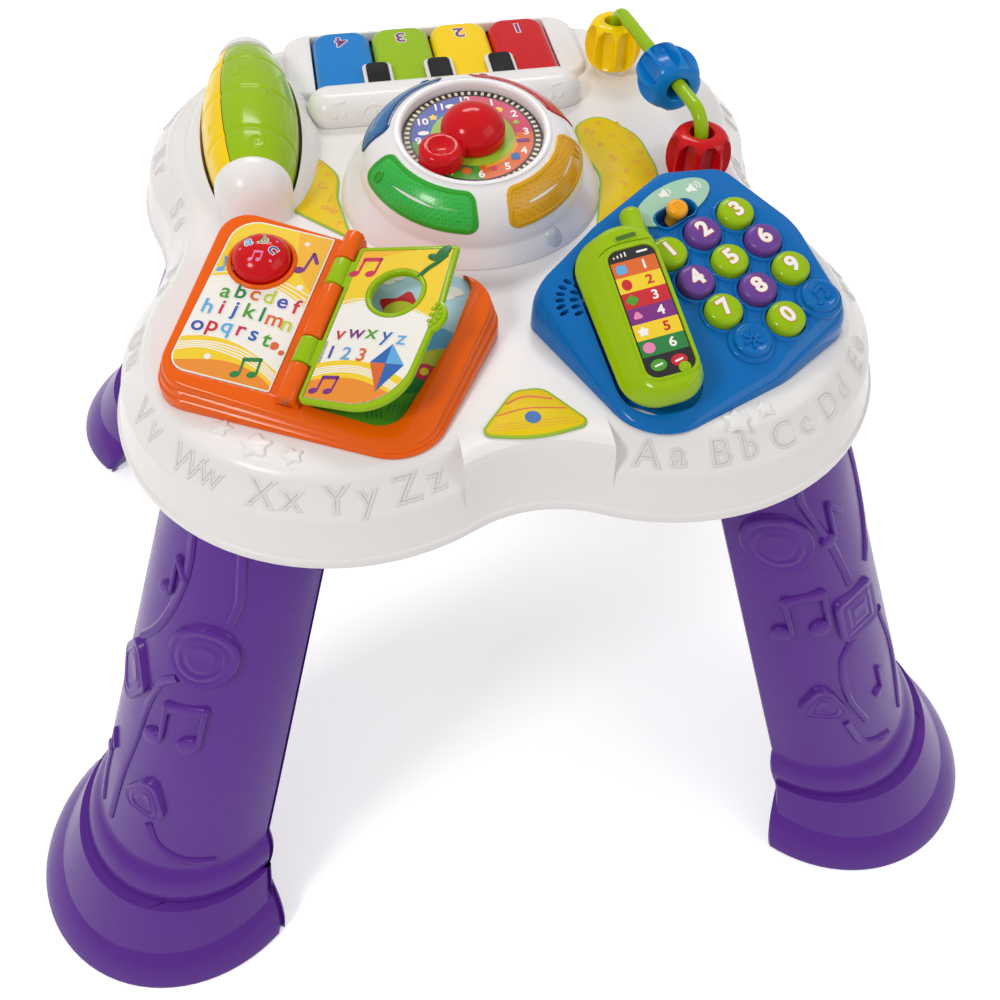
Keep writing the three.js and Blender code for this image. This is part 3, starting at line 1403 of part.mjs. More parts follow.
table.add(named('top_shell', topShell(), white))
table.add(named('bottom_shell', bottomShell(), plastic(colour.white, 0.5)))
for (const place of legPlaces) table.add(named(place.name, legSolid(place), plastic(colour.purple)))
table.add(named('battery_door', batteryDoorSolid(), plastic(colour.white, 0.5)))
table.add(named('battery_front', cellSolid(-1), metal(colour.cell)))
table.add(named('battery_rear', cellSolid(1), metal(colour.cell)))
table.add(named('circuit_board', boardSolid(), plastic(colour.boardGreen, 0.6)))
table.add(named('speaker', speakerSolid(), metal(colour.cell)))

table.add(named('roller_green_half', rollerHalf(true), plastic(colour.green)))
table.add(named('roller_yellow_half', rollerHalf(false), plastic(colour.yellow)))
table.add(named('roller_axle', solidOf(rodAlongY(roller.axleRadius, axleFrom, axleTo, 14, roller.x, axleHeight)), metal(colour.steel)))

const keyLooks = [['blue', colour.blue], ['green', colour.green], ['yellow', colour.yellow], ['red', colour.red]]
keyLooks.forEach(([name, hex], i) => table.add(named(`piano_key_${name}`, keySolid(i), plastic(hex))))
table.add(named('piano_key_rod', solidOf(rodAlongX(piano.rodRadius, -rodHalf, rodHalf, 12, piano.rodY, rodHeight)), metal(colour.steel)))
table.add(named('piano_bar', barSolid(), white))
const padNames = ['left', 'middle', 'right']
padNames.forEach((name, i) => table.add(named(`black_pad_${name}`, blackPadSolid(i - 1), plastic(colour.black))))

const domeGroup = new THREE.Group()
domeGroup.position.set(dome.x, dome.y, deckHeight)
domeGroup.rotation.x = dome.lean * DEGREE
domeGroup.add(named('clock_dome', domeSolid(), white))
for (const place of lensPlaces) domeGroup.add(named(place.name, lensSolid(place), plastic(place.hex, 0.15)))
domeGroup.add(named('clock_dial', dialSolid(), plastic(colour.keyPurple, 0.5)))
const knobMesh = named('clock_knob', knobSolid(), plastic(colour.red, 0.2))
knobMesh.rotation.z = knob.pointing * DEGREE
domeGroup.add(knobMesh)
table.add(domeGroup)

const bookGroup = new THREE.Group()
bookGroup.position.set(book.x, book.y, deckHeight)
bookGroup.rotation.z = book.turn * DEGREE
bookGroup.add(named('book_base', bookBase(), plastic(colour.orange)))
const bookTopGroup = new THREE.Group()
bookTopGroup.applyMatrix4(bookPlane.matrix)
bookTopGroup.add(named('book_left_card', leftCard(), plastic(colour.paper, 0.6)))
bookTopGroup.add(named('book_right_card', rightCard(), plastic(colour.paper, 0.6)))
const buttonMesh = named('letter_button', letterButtonSolid(), plastic(colour.red, 0.2))
buttonMesh.position.set(letterButton.x, letterButton.y, 0)
bookTopGroup.add(buttonMesh)
const spinePin = solidOf(rodAlongY(book.pinRadius, spineFrom, spineTo, 12, 0, book.spineRise))
bookTopGroup.add(named('book_spine_pin', spinePin, metal(colour.steel)))
const pageGroup = new THREE.Group()
pageGroup.position.z = book.spineRise
pageGroup.rotation.y = -page.openAngle * DEGREE
pageGroup.add(named('book_page', pageSolid(), plastic(colour.green)))
pageGroup.add(named('book_page_card', pageCard(), plastic(colour.paper, 0.6)))
bookTopGroup.add(pageGroup)
bookGroup.add(bookTopGroup)
table.add(bookGroup)

const phoneGroup = new THREE.Group()
phoneGroup.position.set(phone.x, phone.y, deckHeight)
phoneGroup.rotation.z = phone.turn * DEGREE
phoneGroup.add(named('phone_base', phoneBase(), plastic(colour.blue)))
const phoneTopGroup = new THREE.Group()
phoneTopGroup.applyMatrix4(phonePlane.matrix)
phoneKeyPlaces.filter((place) => !isBoss(place)).forEach((place) => {
  const hex = Number(place.name) % 2 === 0 && place.name !== '0' ? colour.keyPurple : colour.green
  phoneTopGroup.add(named(`phone_key_${place.name}`, phoneKeySolid(place), plastic(hex)))
})
phoneTopGroup.add(named('volume_knob', volumeKnobSolid(), plastic(colour.amber)))
phoneTopGroup.add(named('volume_plate', volumePlateSolid(), plastic(colour.mint, 0.5)))
const handsetGroup = new THREE.Group()
handsetGroup.applyMatrix4(handsetMatrix)
handsetGroup.add(named('handset', handsetSolid(), plastic(colour.green)))
handsetGroup.add(named('handset_screen', screenSolid(), plastic(colour.paper, 0.3)))
table.add(handsetGroup)
phoneGroup.add(phoneTopGroup)
table.add(phoneGroup)

table.add(named('bead_rail', railSolid(), plastic(colour.green)))
const beadSeat = deckHeight + rail.collarHeight + seatGap + bead.halfHeight
const yellowBead = named('bead_yellow', beadSolid(), plastic(colour.yellow))
yellowBead.position.copy(railRear).setZ(beadSeat)
const redBead = named('bead_red', beadSolid(), plastic(colour.red))
redBead.position.copy(railFront).setZ(beadSeat)
const blueBead = named('bead_blue', beadSolid(), plastic(colour.blue))
const hang = bead.bore - rail.radius - seatGap
blueBead.position.copy(railRear).addScaledVector(railRun, blueBeadShare).setZ(railTop - hang)
blueBead.quaternion.setFromUnitVectors(new THREE.Vector3(0, 0, 1), railAlong)
table.add(yellowBead, blueBead, redBead)

const flatPlate = (outline, thickness) => solidOf(prism(outline, deckHeight + seatGap, deckHeight + seatGap + thickness))
const cradleRoom = prism(ellipse(cradle.halfWidth + seatGap, cradle.halfLength + seatGap, 26, roller.x, roller.y), deckHeight, axleHeight)
const leftPlate = cut(flatPlate(shareOutline(leftDecalShares, leftDecal), decal.thickness), solidOf(cradleRoom))
table.add(named('left_decal', leftPlate, plastic(colour.yellow)))
table.add(named('right_decal', flatPlate(shareOutline(rightDecalShares, rightDecal), decal.thickness), plastic(colour.yellow)))
table.add(named('nameplate', flatPlate(shareOutline(nameplateShares, { ...nameplate, y: nameplateY }), nameplate.thickness), plastic(colour.yellow)))

export default table
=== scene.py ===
# A musical activity table for babies, dressed for rendering. Shapes are worked out in
# millimetres in the frame of the model, and piece() turns them into metres.
import math
from types import SimpleNamespace as Sizes

import bmesh
import bpy
from mathutils import Matrix, Vector


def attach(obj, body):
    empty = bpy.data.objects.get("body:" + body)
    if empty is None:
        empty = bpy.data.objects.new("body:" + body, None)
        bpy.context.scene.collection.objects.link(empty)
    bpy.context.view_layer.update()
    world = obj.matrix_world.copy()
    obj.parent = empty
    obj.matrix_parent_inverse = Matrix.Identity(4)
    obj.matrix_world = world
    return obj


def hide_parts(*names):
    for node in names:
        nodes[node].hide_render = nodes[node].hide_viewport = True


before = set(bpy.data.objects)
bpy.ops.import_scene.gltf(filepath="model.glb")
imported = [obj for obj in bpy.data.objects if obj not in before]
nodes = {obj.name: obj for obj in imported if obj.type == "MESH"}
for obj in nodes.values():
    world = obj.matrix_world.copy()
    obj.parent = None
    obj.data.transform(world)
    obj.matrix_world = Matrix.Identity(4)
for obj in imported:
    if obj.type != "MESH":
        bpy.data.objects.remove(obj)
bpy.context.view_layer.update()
scene = bpy.context.scene

MM = 0.001
FULL_TURN = math.tau
QUARTER = math.pi / 2


# Sizes, as in the model, but for the legs' crease and collar, which follow the photograph

deck = 322
rim_height = 283.3
wall = 3
table = Sizes(width=360, front_r=106, front_y=-91.7, rear_r=110.7, rear_x=60.9, rear_y=67.1,
              front_dip=60.8, side_dip=95.9)
lip = Sizes(height=4.2, step=1.6, round=1.4)
ridge = Sizes(inset=6, below=15)
crest = Sizes(inset=17.2, below=3.6, flat=5.4)
platform = Sizes(width=63, depth=42, foot_inset=3.2, foot_rise=5, shoulder_inset=5.6,
                 shoulder_below=3.4, top_inset=8.6)
leg = Sizes(foot_x=198.7, foot_y=176.9, front_x=112.5, front_y=128.1, rear_x=97, rear_y=109, top=284,
            foot=80.3, crease=57.5, crease_z=34, collar=60, collar_z=46, collar_top=63, shank=54,
            end=43.4)
roller = Sizes(x=-108, y=61, above=8.5, radius=25.4, half=57, ellipse=80, seam=-30, groove=0.7,
               groove_width=2.4, pitch=34, gap=1.6)
cradle = Sizes(half_width=35, half_length=75, height=8.5, slope=10)
cap = Sizes(front_r=19.3, rear_r=16.5, face_gap=1.5)
piano = Sizes(pitch=35.2, gap=1, rear=158, front=76, above=8, below=6, edge=5.5, rear_corner=11,
              front_corner=2, pad_width=12.5, pad_length=19.5)
surround = Sizes(side=16.5, rear=4.2, front=95.5, height=4.2, corner=16)
bar = Sizes(half=77, front=66, rear=93.5, height=15, edge=11)
dome = Sizes(x=1, y=-1, lean=8, turn=2, foot_r=66, wall_r=55.9, height=41, shoulder=24, wall=2.6,
             dial_r=34.4, drop=4.8)
lens = Sizes(start=19, end=69, gap=14.4)
knob = Sizes(radius=15.8, height=16.5, reach=23.2, pad_r=10.8, pad_height=9.6, neck=15, dimple_r=6.6,
             dimple=2.4, pointing=220)
book = Sizes(x=-80.7, y=-105.3, turn=-24.4, lean=12, height=18.2, recess=4.5, card=0.7, spine_r=4.6,
             spine_rise=3.2, half=49, inset=4.6, open=16)
phone = Sizes(x=101.2, y=-103.4, turn=26.9, lean=15, height=23, pitch_x=20.2, pitch_y=18.4, key_r=8.3,
              key_rise=5.2, skirt=6)
handset = Sizes(x=55.2, y=-134.5, z=353, turn=4, lean=15, side_lean=-10, thickness=20, sunk=9, edge=4,
                right=13.4, left=15.6, belly=7, half=42, top=46, corner=13, top_corner=14, aerial_x=7.6,
                aerial_r=5.2, aerial=11, screen_w=10.2, screen_l=32, screen_corner=5, screen_y=-1)
rail = Sizes(rear=(101, 103), front=(116, -12), radius=3.5, height=38.5, bend=12, collar=8,
             collar_height=3)
bead = Sizes(radius=16.2, half=13.6, end=10, bore=6.2, ribs=8, rib=1.8, core=9.4, rim=1.5,
             blue_share=0.62)
seat = 0.3


# Camera, as fitted to the photograph, with its sizes in metres

camera = Sizes(lens=41.285, sensor=36, shift_x=0.0316, shift_y=-0.1035, far=20,
               place=(-0.0778, -0.4760, 0.6767),
               right=(0.9870, -0.1605, 0.0009), up=(0.1159, 0.7167, 0.6877))


def make_camera():
    data = bpy.data.cameras.new("camera")
    data.lens = camera.lens
    data.sensor_width = camera.sensor
    data.shift_x = camera.shift_x
    data.shift_y = camera.shift_y
    data.clip_end = camera.far
    obj = bpy.data.objects.new("camera", data)
    right = Vector(camera.right)
    back = right.cross(Vector(camera.up))
    up = back.cross(right).normalized()
    turn = Matrix((right, up, back)).transposed().to_4x4()
    obj.matrix_world = Matrix.Translation(camera.place) @ turn
    scene.collection.objects.link(obj)
    scene.camera = obj


# Node helpers

def linear(hexa):
    """A written colour as the linear numbers that a shader takes."""
    shares = [int(hexa[i:i + 2], 16) / 255 for i in (0, 2, 4)]
    return [s / 12.92 if s < 0.04045 else ((s + 0.055) / 1.055) ** 2.4 for s in shares] + [1]


class Look:
    """A material under way, with short calls for the nodes that it is made of."""

    def __init__(self, name, roughness=0.4):
        self.material = bpy.data.materials.new(name)
        self.material.use_nodes = True
        self.tree = self.material.node_tree
        self.shader = self.tree.nodes["Principled BSDF"]
        self.shader.inputs["Roughness"].default_value = roughness
        self.place = self.node("ShaderNodeTexCoord").outputs["Object"]

    def node(self, kind, **values):
        made = self.tree.nodes.new(kind)
        for key, value in values.items():
            setattr(made, key, value)
        return made

    def link(self, output, target):
        self.tree.links.new(output, target)

    def noise(self, scale, detail=2.0):
        made = self.node("ShaderNodeTexNoise")
        made.inputs["Scale"].default_value = scale
        made.inputs["Detail"].default_value = detail
        self.link(self.place, made.inputs["Vector"])
        return made.outputs["Fac"]

    def math(self, operation, first, second=0.0, third=0.0):
        made = self.node("ShaderNodeMath", operation=operation)
        for socket, value in zip(made.inputs, (first, second, third)):
            if isinstance(value, (int, float)):
                socket.default_value = value
            else:
                self.link(value, socket)
        return made.outputs[0]

    def spread(self, value, low, high):
        """A share from 0 to 1 brought into a range."""
        made = self.node("ShaderNodeMapRange")
        made.inputs["From Min"].default_value = 0.3
        made.inputs["From Max"].default_value = 0.7
        made.inputs["To Min"].default_value = low
        made.inputs["To Max"].default_value = high
        self.link(value, made.inputs["Value"])
        return made.outputs["Result"]

    def mix(self, share, first, second):
        made = self.node("ShaderNodeMix", data_type="RGBA")
        self.link(share, made.inputs["Factor"])
        for socket, value in ((made.inputs[6], first), (made.inputs[7], second)):
            if isinstance(value, (list, tuple)):
                socket.default_value = value
            else:
                self.link(value, socket)
        return made.outputs[2]

    def bump(self, height, strength, distance=0.001):
        made = self.node("ShaderNodeBump")
        made.inputs["Strength"].default_value = strength
        made.inputs["Distance"].default_value = distance
        self.link(height, made.inputs["Height"])
        old = self.shader.inputs["Normal"]
        if old.is_linked:
            self.link(old.links[0].from_socket, made.inputs["Normal"])
        self.link(made.outputs["Normal"], old)

    def colour(self, output):
        self.link(output, self.shader.inputs["Base Color"])


def darker(colour, share):
    return [c * share for c in colour[:3]] + [1]


def plastic(name, hexa, roughness=0.3, peel=0.05, coat=0.0, subsurface=0.0, shade=0.93, specular=0.5):
    """Moulded plastic: faint flow marks in the colour, orange peel and uneven gloss."""
    look = Look(name, roughness)
    base = linear(hexa)
    cloud = look.noise(9, 3)
    look.colour(look.mix(look.spread(cloud, 0, 1), darker(base, shade), base))
    rubbed = look.noise(45, 2)
    look.link(look.spread(rubbed, roughness * 0.88, roughness * 1.15), look.shader.inputs["Roughness"])
    look.bump(look.noise(160, 0), peel, 0.0002)
    look.shader.inputs["Specular IOR Level"].default_value = specular
    look.shader.inputs["Coat Weight"].default_value = coat
    look.shader.inputs["Coat Roughness"].default_value = 0.08
    look.shader.inputs["Subsurface Weight"].default_value = subsurface
    look.shader.inputs["Subsurface Radius"].default_value = (0.004, 0.003, 0.002)
    return look.material


def brushed(name, hexa):
    """Drawn steel with fine lengthwise scratches."""
    look = Look(name, 0.3)
    look.shader.inputs["Metallic"].default_value = 1
    base = linear(hexa)
    look.colour(look.mix(look.spread(look.noise(300, 4), 0, 1), darker(base, 0.8), base))
    look.link(look.spread(look.noise(900, 3), 0.2, 0.42), look.shader.inputs["Roughness"])
    return look.material


def lens_rim_look(name, hexa):
    """The plain clear border of a lens."""
    look = Look(name, 0.1)
    base = linear(hexa)
    look.colour(look.mix(look.spread(look.noise(40, 3), 0, 1), darker(base, 0.85), base))
    look.link(look.spread(look.noise(60, 3), 0.08, 0.16), look.shader.inputs["Roughness"])
    look.shader.inputs["Transmission Weight"].default_value = 0.15
    look.shader.inputs["Specular IOR Level"].default_value = 0.3
    look.shader.inputs["Coat Weight"].default_value = 0.2
    return look.material


def lens_look(name, hexa):
    """Coloured see-through plastic with a grid of fine dimples on its back."""
    look = Look(name, 0.24)
    base = linear(hexa)
    cells = look.node("ShaderNodeTexVoronoi", feature="F1")
    cells.inputs["Scale"].default_value = 620
    cells.inputs["Randomness"].default_value = 0.12
    look.link(look.place, cells.inputs["Vector"])
    dots = look.math("LESS_THAN", cells.outputs["Distance"], 0.36)
    deep = look.mix(look.spread(look.noise(30, 3), 0, 1), darker(base, 0.8), base)
    look.colour(look.mix(look.math("MULTIPLY", dots, 0.55), deep, darker(base, 0.5)))
    look.bump(cells.outputs["Distance"], 0.08, 0.0005)
    look.shader.inputs["Transmission Weight"].default_value = 0.08
    look.shader.inputs["Specular IOR Level"].default_value = 0.3
    look.shader.inputs["Coat Weight"].default_value = 0.2
    look.shader.inputs["Coat Roughness"].default_value = 0.06
    return look.material


looks = {
    "white": plastic("white_plastic", "efebe9", 0.26, 0.04, subsurface=0.08, shade=0.97, specular=0.35),
    # Band letters: the shell's white made a little greyer as painted shade; the rougher surface and coarser
    # peel are their matte grain
    "band": plastic("white_band", "e4dfdd", 0.55, 0.12, subsurface=0.08, shade=0.96),
    "under": plastic("white_underside", "ebe8e4", 0.6, 0.14),
    "purple": plastic("purple_plastic", "5d2a93", 0.26, 0.02, shade=0.9, specular=0.22),
    "orange": plastic("orange_plastic", "f06206", 0.16, 0.03, coat=0.08, specular=0.2),
    "green": plastic("green_plastic", "9ac008", 0.14, 0.03, coat=0.08, specular=0.2),
    "yellow": plastic("yellow_plastic", "ffd600", 0.16, 0.03, coat=0.08, specular=0.2),
    "red": plastic("red_plastic", "d20d16", 0.14, 0.03, coat=0.08, specular=0.2),
    "blue": plastic("blue_plastic", "026cb8", 0.14, 0.03, coat=0.08, specular=0.2),
    "key_blue": plastic("key_blue_plastic", "047ecc", 0.16, 0.03, coat=0.08, specular=0.2),
    "key_purple": plastic("key_purple_plastic", "6d4296", 0.25, 0.04, specular=0.25),
    "black": plastic("black_label", "120e13", 0.6, 0.03, specular=0.22),
    "dark": plastic("dark_jacket", "35383d", 0.45, 0.05),
    "board": plastic("green_board", "1f6b43", 0.5, 0.1),
    "mint": plastic("mint_label", "a5cfb4", 0.4, 0.03),
    "ink_pale": plastic("pale_orange_ink", "eba11c", 0.45, 0.02),
    "card": plastic("cream_card", "f3e7c4", 0.45, 0.03),
    "label": plastic("yellow_label", "ecca04", 0.4, 0.02, specular=0.2),
    "steel": brushed("steel_rod", "c2c4c8"),
    "lens_green": lens_look("green_lens", "3ccb50"),
    "lens_amber": lens_look("amber_lens", "f8b414"),
    "lens_blue": lens_look("blue_lens", "2474b8"),
    "lens_red": lens_look("red_lens", "dc3038"),
    "lens_green_rim": lens_rim_look("green_lens_rim", "35b32e"),
    "lens_amber_rim": lens_rim_look("amber_lens_rim", "f2b40a"),
    "lens_blue_rim": lens_rim_look("blue_lens_rim", "1a4f88"),
    "lens_red_rim": lens_rim_look("red_lens_rim", "bf1d24"),
    "dome": plastic("dome_plastic", "f0ecec", 0.22, 0.03, coat=0.3, subsurface=0.1, shade=0.97),
    # Sensor bump: the dome's white made grey, painted shade on the bump
    "shaded_bump": plastic("bump_painted_shade", "c9ced4", 0.22, 0.03, coat=0.3),
    "lime_ink": plastic("lime_ink", "9fc52a", 0.4, 0.02),
    "paper": plastic("white_card", "f4efe6", 0.45, 0.02),
    "ink_leaf": plastic("leaf_green", "1d7034", 0.35, 0.02),
    # Dark green for the earpiece slot: painted shade of its recess
    "slot_painted_shade": plastic("slot_painted_shade", "3d6b0c", 0.5, 0.02),
    "amber": plastic("amber_plastic", "f7a800", 0.26, 0.04, subsurface=0.06),
}

inks = {"white": "f6f3ee", "orange": "e0641c", "red": "cc1420", "purple": "7b1f7d", "green": "4a9a20",
        "dark_green": "1d7f3a", "blue": "1b62b0", "yellow": "f4cf1a", "black": "1a1218",
        "tick": "2b1f2e", "pink": "cf1f55", "violet": "3d4aa6", "gold": "f3b61b", "amber": "ee8d1d",
        "olive": "c3cc35", "sky": "5fa9dc", "haze": "b4dbee", "blush": "e985b0"}
for ink, hexa in inks.items():
    looks[f"ink_{ink}"] = plastic(f"{ink}_ink", hexa, 0.4, 0.02)

node_looks = {
    "bottom_shell": "under", "battery_door": "under", "battery_front": "dark", "battery_rear": "dark",
    "circuit_board": "board", "speaker": "dark", "roller_axle": "steel", "piano_key_rod": "steel",
    "book_spine_pin": "steel", "top_shell": "white", "piano_bar": "white", "clock_dome": "white",
    "roller_green_half": "green", "roller_yellow_half": "yellow", "piano_key_blue": "key_blue",
    "piano_key_green": "green", "piano_key_yellow": "yellow", "piano_key_red": "red",
    "black_pad_left": "black", "black_pad_middle": "black", "black_pad_right": "black",
    "lens_front_left": "lens_green", "lens_front_right": "lens_amber", "lens_rear_right": "lens_red",
    "lens_rear_left": "lens_blue", "clock_dial": "card", "clock_knob": "red", "book_base": "orange",
    "book_left_card": "card", "book_right_card": "card", "letter_button": "red", "book_page": "green",
    "book_page_card": "card", "phone_base": "blue", "volume_knob": "yellow", "volume_plate": "mint",
    "handset": "green", "handset_screen": "ink_black", "bead_rail": "green", "bead_yellow": "yellow",
    "bead_red": "red", "bead_blue": "key_blue", "left_decal": "label", "right_decal": "label",
    "nameplate": "label",
}


def dress_nodes():
    """The carried-over nodes get the same looks as the pieces."""
    for name, node in nodes.items():
        if name.startswith("leg_"):
            look = "purple"
        elif name.startswith("phone_key_"):
            look = "key_purple" if name[-1] in "2468" else "green"
        else:
            look = node_looks[name]
        node.data.materials.clear()
        node.data.materials.append(looks[look])


# Shape helpers, in millimetres

def arc(x, y, radius, start, end, steps):
    angles = [start + (end - start) * i / steps for i in range(steps + 1)]
    return [Vector((x + radius * math.cos(a), y + radius * math.sin(a))) for a in angles]


def circle(radius, steps=32, x=0, y=0):
    return arc(x, y, radius, 0, FULL_TURN, steps)[:steps]


def ellipse(half_x, half_y, steps=48, x=0, y=0):
    return [Vector((x + p.x * half_x, y + p.y * half_y)) for p in circle(1, steps)]


def rounded(corners, inset=0.0, steps=8):
    """A polygon of [x, y, corner radius], with every side moved in by inset."""
    count = len(corners)
    at = [Vector(c[:2]) for c in corners]
    outline = []
    for i in range(count):
        here, before, after = at[i], at[i - 1], at[(i + 1) % count]
        inward = [Vector((a.y - b.y, b.x - a.x)).normalized() for a, b in ((before, here), (here, after))]
        middle = inward[0] + inward[1]
        reach = 2 / middle.length_squared
        moved = here + middle * inset * reach
        turn = inward[0].x * inward[1].y - inward[0].y * inward[1].x
        side = -1 if turn < 0 else 1
        wanted = corners[i][2] - side * inset
        half = math.acos(min(1, inward[0].dot(inward[1]))) / 2
        room = 0.48 * min((here - before).length, (here - after).length)
        radius = min(max(wanted, corners[i][2] * 0.05), room / max(math.tan(half), 1e-6))
        centre = moved + middle * side * radius * reach
        start = math.atan2(-inward[0].y * side, -inward[0].x * side)
        outline += arc(centre.x, centre.y, radius, start, start + side * half * 2, steps)
    return outline


def box_outline(half_x, half_y, corner, inset=0.0, steps=8, x=0, y=0):
    signs = ((-1, -1), (1, -1), (1, 1), (-1, 1))
    return rounded([(x + u * half_x, y + v * half_y, corner) for u, v in signs], inset, steps)


def level(outline, z):
    """An outline as a ring; z is a height or a function of x and y."""
    return [Vector((p[0], p[1], z(p[0], p[1]) if callable(z) else z)) for p in outline]


def loft(rings, closed=False):
    """Points and faces through rings of equal length, capped unless they close on themselves."""
    count = len(rings[0])
    points = [p for ring in rings for p in ring]
    faces = []
    last = len(rings) if closed else len(rings) - 1
    for r in range(last):
        low, high = r * count, ((r + 1) % len(rings)) * count
        for i in range(count):
            j = (i + 1) % count
            faces.append((low + i, low + j, high + j, high + i))
    if not closed:
        faces.append(tuple(reversed(range(count))))
        faces.append(tuple(range((len(rings) - 1) * count, len(rings) * count)))
    return points, faces


def prism(outline, low, high):
    return loft([level(outline, low), level(outline, high)])


def layered(outline_at, levels):
    """A loft through [inset, height] levels of one outline."""
    return loft([level(outline_at(inset), z) for inset, z in levels])


def revolved(profile, steps=96, closed=False):
    """A body of revolution about Z from [radius, height] points."""
    return loft([level(circle(max(r, 0.01), steps), z) for r, z in profile], closed)


def pillow(edge, top, steps=5):
    """[inset, height] levels of a quarter round that ends flat at the top."""
    angles = [QUARTER * i / steps for i in range(steps + 1)]
    return [(edge * (1 - math.cos(a)), top - edge * (1 - math.sin(a))) for a in angles]


# Piece helpers

def smooth(obj, angle=32):
    obj.data.shade_smooth()
    obj.data.set_sharp_from_angle(angle=math.radians(angle))


def recalculate(obj):
    """Faces turned outwards."""
    work = bmesh.new()
    work.from_mesh(obj.data)
    bmesh.ops.recalc_face_normals(work, faces=work.faces)
    work.to_mesh(obj.data)
    work.free()
    smooth(obj, 35)


def piece(name, shape, look, body="table", at=Matrix.Identity(4), stands_for=(), slot=None, angle=32):
    """A mesh in metres from points and faces in millimetres, riding on its body."""
    points, faces = shape
    mesh = bpy.data.meshes.new(name)
    mesh.from_pydata([p.to_3d() for p in points], [], faces)
    mesh.transform(Matrix.Scale(MM, 4) @ at)
    mesh.validate()
    obj = bpy.data.objects.new(name, mesh)
    scene.collection.objects.link(obj)
    if at.determinant() < 0:
        mesh.flip_normals()
    mesh.materials.append(looks[look])
    smooth(obj, angle)
    if body:
        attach(obj, body)
    if stands_for:
        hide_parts(*stands_for)
    return obj


def tool(shape, at=Matrix.Identity(4)):
    """A solid used only to cut or to join."""
    return piece("tool", shape, "white", None, at)


def apply_modifiers(obj, angle=32):
    bpy.context.view_layer.update()
    made = obj.evaluated_get(bpy.context.evaluated_depsgraph_get())
    mesh = bpy.data.meshes.new_from_object(made)
    obj.modifiers.clear()
    old = obj.data
    obj.data = mesh
    bpy.data.meshes.remove(old)
    smooth(obj, angle)


def combine(obj, others, operation="DIFFERENCE", angle=32):
    """Cuts or joins solids, which are used up."""
    for other in others:
        modifier = obj.modifiers.new("combine", "BOOLEAN")
        modifier.operation = operation
        modifier.solver = "EXACT"
        modifier.object = other
    apply_modifiers(obj, angle)
    for other in others:
        bpy.data.objects.remove(other)
    return obj


def soften(obj, width, segments=3, limit=30, angle=40):
    """Rounds the edges that are sharper than the limit."""
    modifier = obj.modifiers.new("soften", "BEVEL")
    modifier.width = width * MM
    modifier.segments = segments
    modifier.limit_method = "ANGLE"
    modifier.angle_limit = math.radians(limit)
    modifier.use_clamp_overlap = True
    apply_modifiers(obj, angle)
    return obj


def move(x=0, y=0, z=0):
    return Matrix.Translation((x, y, z))


def turned(degrees, axis="Z"):
    return Matrix.Rotation(math.radians(degrees), 4, axis)


def leaning(place):
    """The frame of a top plane that leans towards the child, and its height over the deck."""
    spin = turned(place.turn)
    home = move(place.x, place.y, deck) @ spin
    top = home @ move(z=place.height) @ turned(-place.turn) @ turned(place.lean, "X") @ spin
    slope = math.tan(math.radians(place.lean))
    bearing = math.radians(place.turn)

    def height(x, y):
        return place.height + slope * (x * math.sin(bearing) + y * math.cos(bearing))

    return home, top, height


def words(name, text, size, look, at, body="table", thick=0.25, bold=0.0, tube_radius=0.0,
          mapping=None):
    """Raised generic characters, centred on the frame that they stand in."""
    data = bpy.data.curves.new(name, "FONT")
    data.body = text
    data.size = size
    data.align_x = "CENTER"
    data.align_y = "CENTER"
    data.resolution_u = 4
    if tube_radius:
        data.fill_mode = "NONE"
        data.bevel_depth = tube_radius
        data.bevel_resolution = 2
    else:
        data.extrude = thick
        data.offset = bold
    written = bpy.data.objects.new(name + "_text", data)
    scene.collection.objects.link(written)
    bpy.context.view_layer.update()
    mesh = bpy.data.meshes.new_from_object(written.evaluated_get(bpy.context.evaluated_depsgraph_get()))
    bpy.data.objects.remove(written)
    if mapping:
        for vertex in mesh.vertices:
            vertex.co = mapping(vertex.co)
    mesh.transform(Matrix.Scale(MM, 4) @ at)
    obj = bpy.data.objects.new(name, mesh)
    scene.collection.objects.link(obj)
    mesh.materials.clear()
    mesh.materials.append(looks[look])
    smooth(obj, 35)
    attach(obj, body)
    return obj


def edged_words(name, text, size, look, at, body, thick, bold, edge_thick, edge_bold):
    """Raised characters, with wider white ones under them."""
    words(name, text, size, look, at, body, thick, bold)
    under = at @ move(z=-0.06)
    words(name + "_edge", text, size, "ink_white", under, body, edge_thick, edge_bold)


# Tabletop

def table_outline(inset=0.0, fine=1):
    """The four-lobed outline, counter-clockwise from the middle of the front."""
    lobe = Vector((table.width / 2 - table.front_r, table.front_y))
    rear = Vector((table.rear_x, table.rear_y))
    dip = Vector((0, lobe.y - math.sqrt((table.front_r + table.front_dip) ** 2 - lobe.x ** 2)))
    to_front = table.front_r + table.side_dip
    to_rear = table.rear_r + table.side_dip
    between = rear - lobe
    apart = between.length
    along = (to_front ** 2 - to_rear ** 2 + apart ** 2) / (2 * apart)
    aside = math.sqrt(to_front ** 2 - along ** 2)
    side = lobe + between * (along / apart) + Vector((between.y, -between.x)) * (aside / apart)

    def bearing(a, b):
        return math.atan2(b.y - a.y, b.x - a.x)

    dip_end, lobe_end, side_end = bearing(dip, lobe), bearing(lobe, side), bearing(side, rear)
    half = arc(*dip, table.front_dip + inset, QUARTER, dip_end, 8 * fine)
    half += arc(*lobe, table.front_r - inset, dip_end - math.pi, lobe_end, 36 * fine)[1:]
    half += arc(*side, table.side_dip + inset, lobe_end + math.pi, side_end, 12 * fine)[1:]
    half += arc(*rear, table.rear_r - inset, side_end - math.pi, QUARTER, 32 * fine)[1:]
    return half + [Vector((-p.x, p.y)) for p in reversed(half[1:-1])]


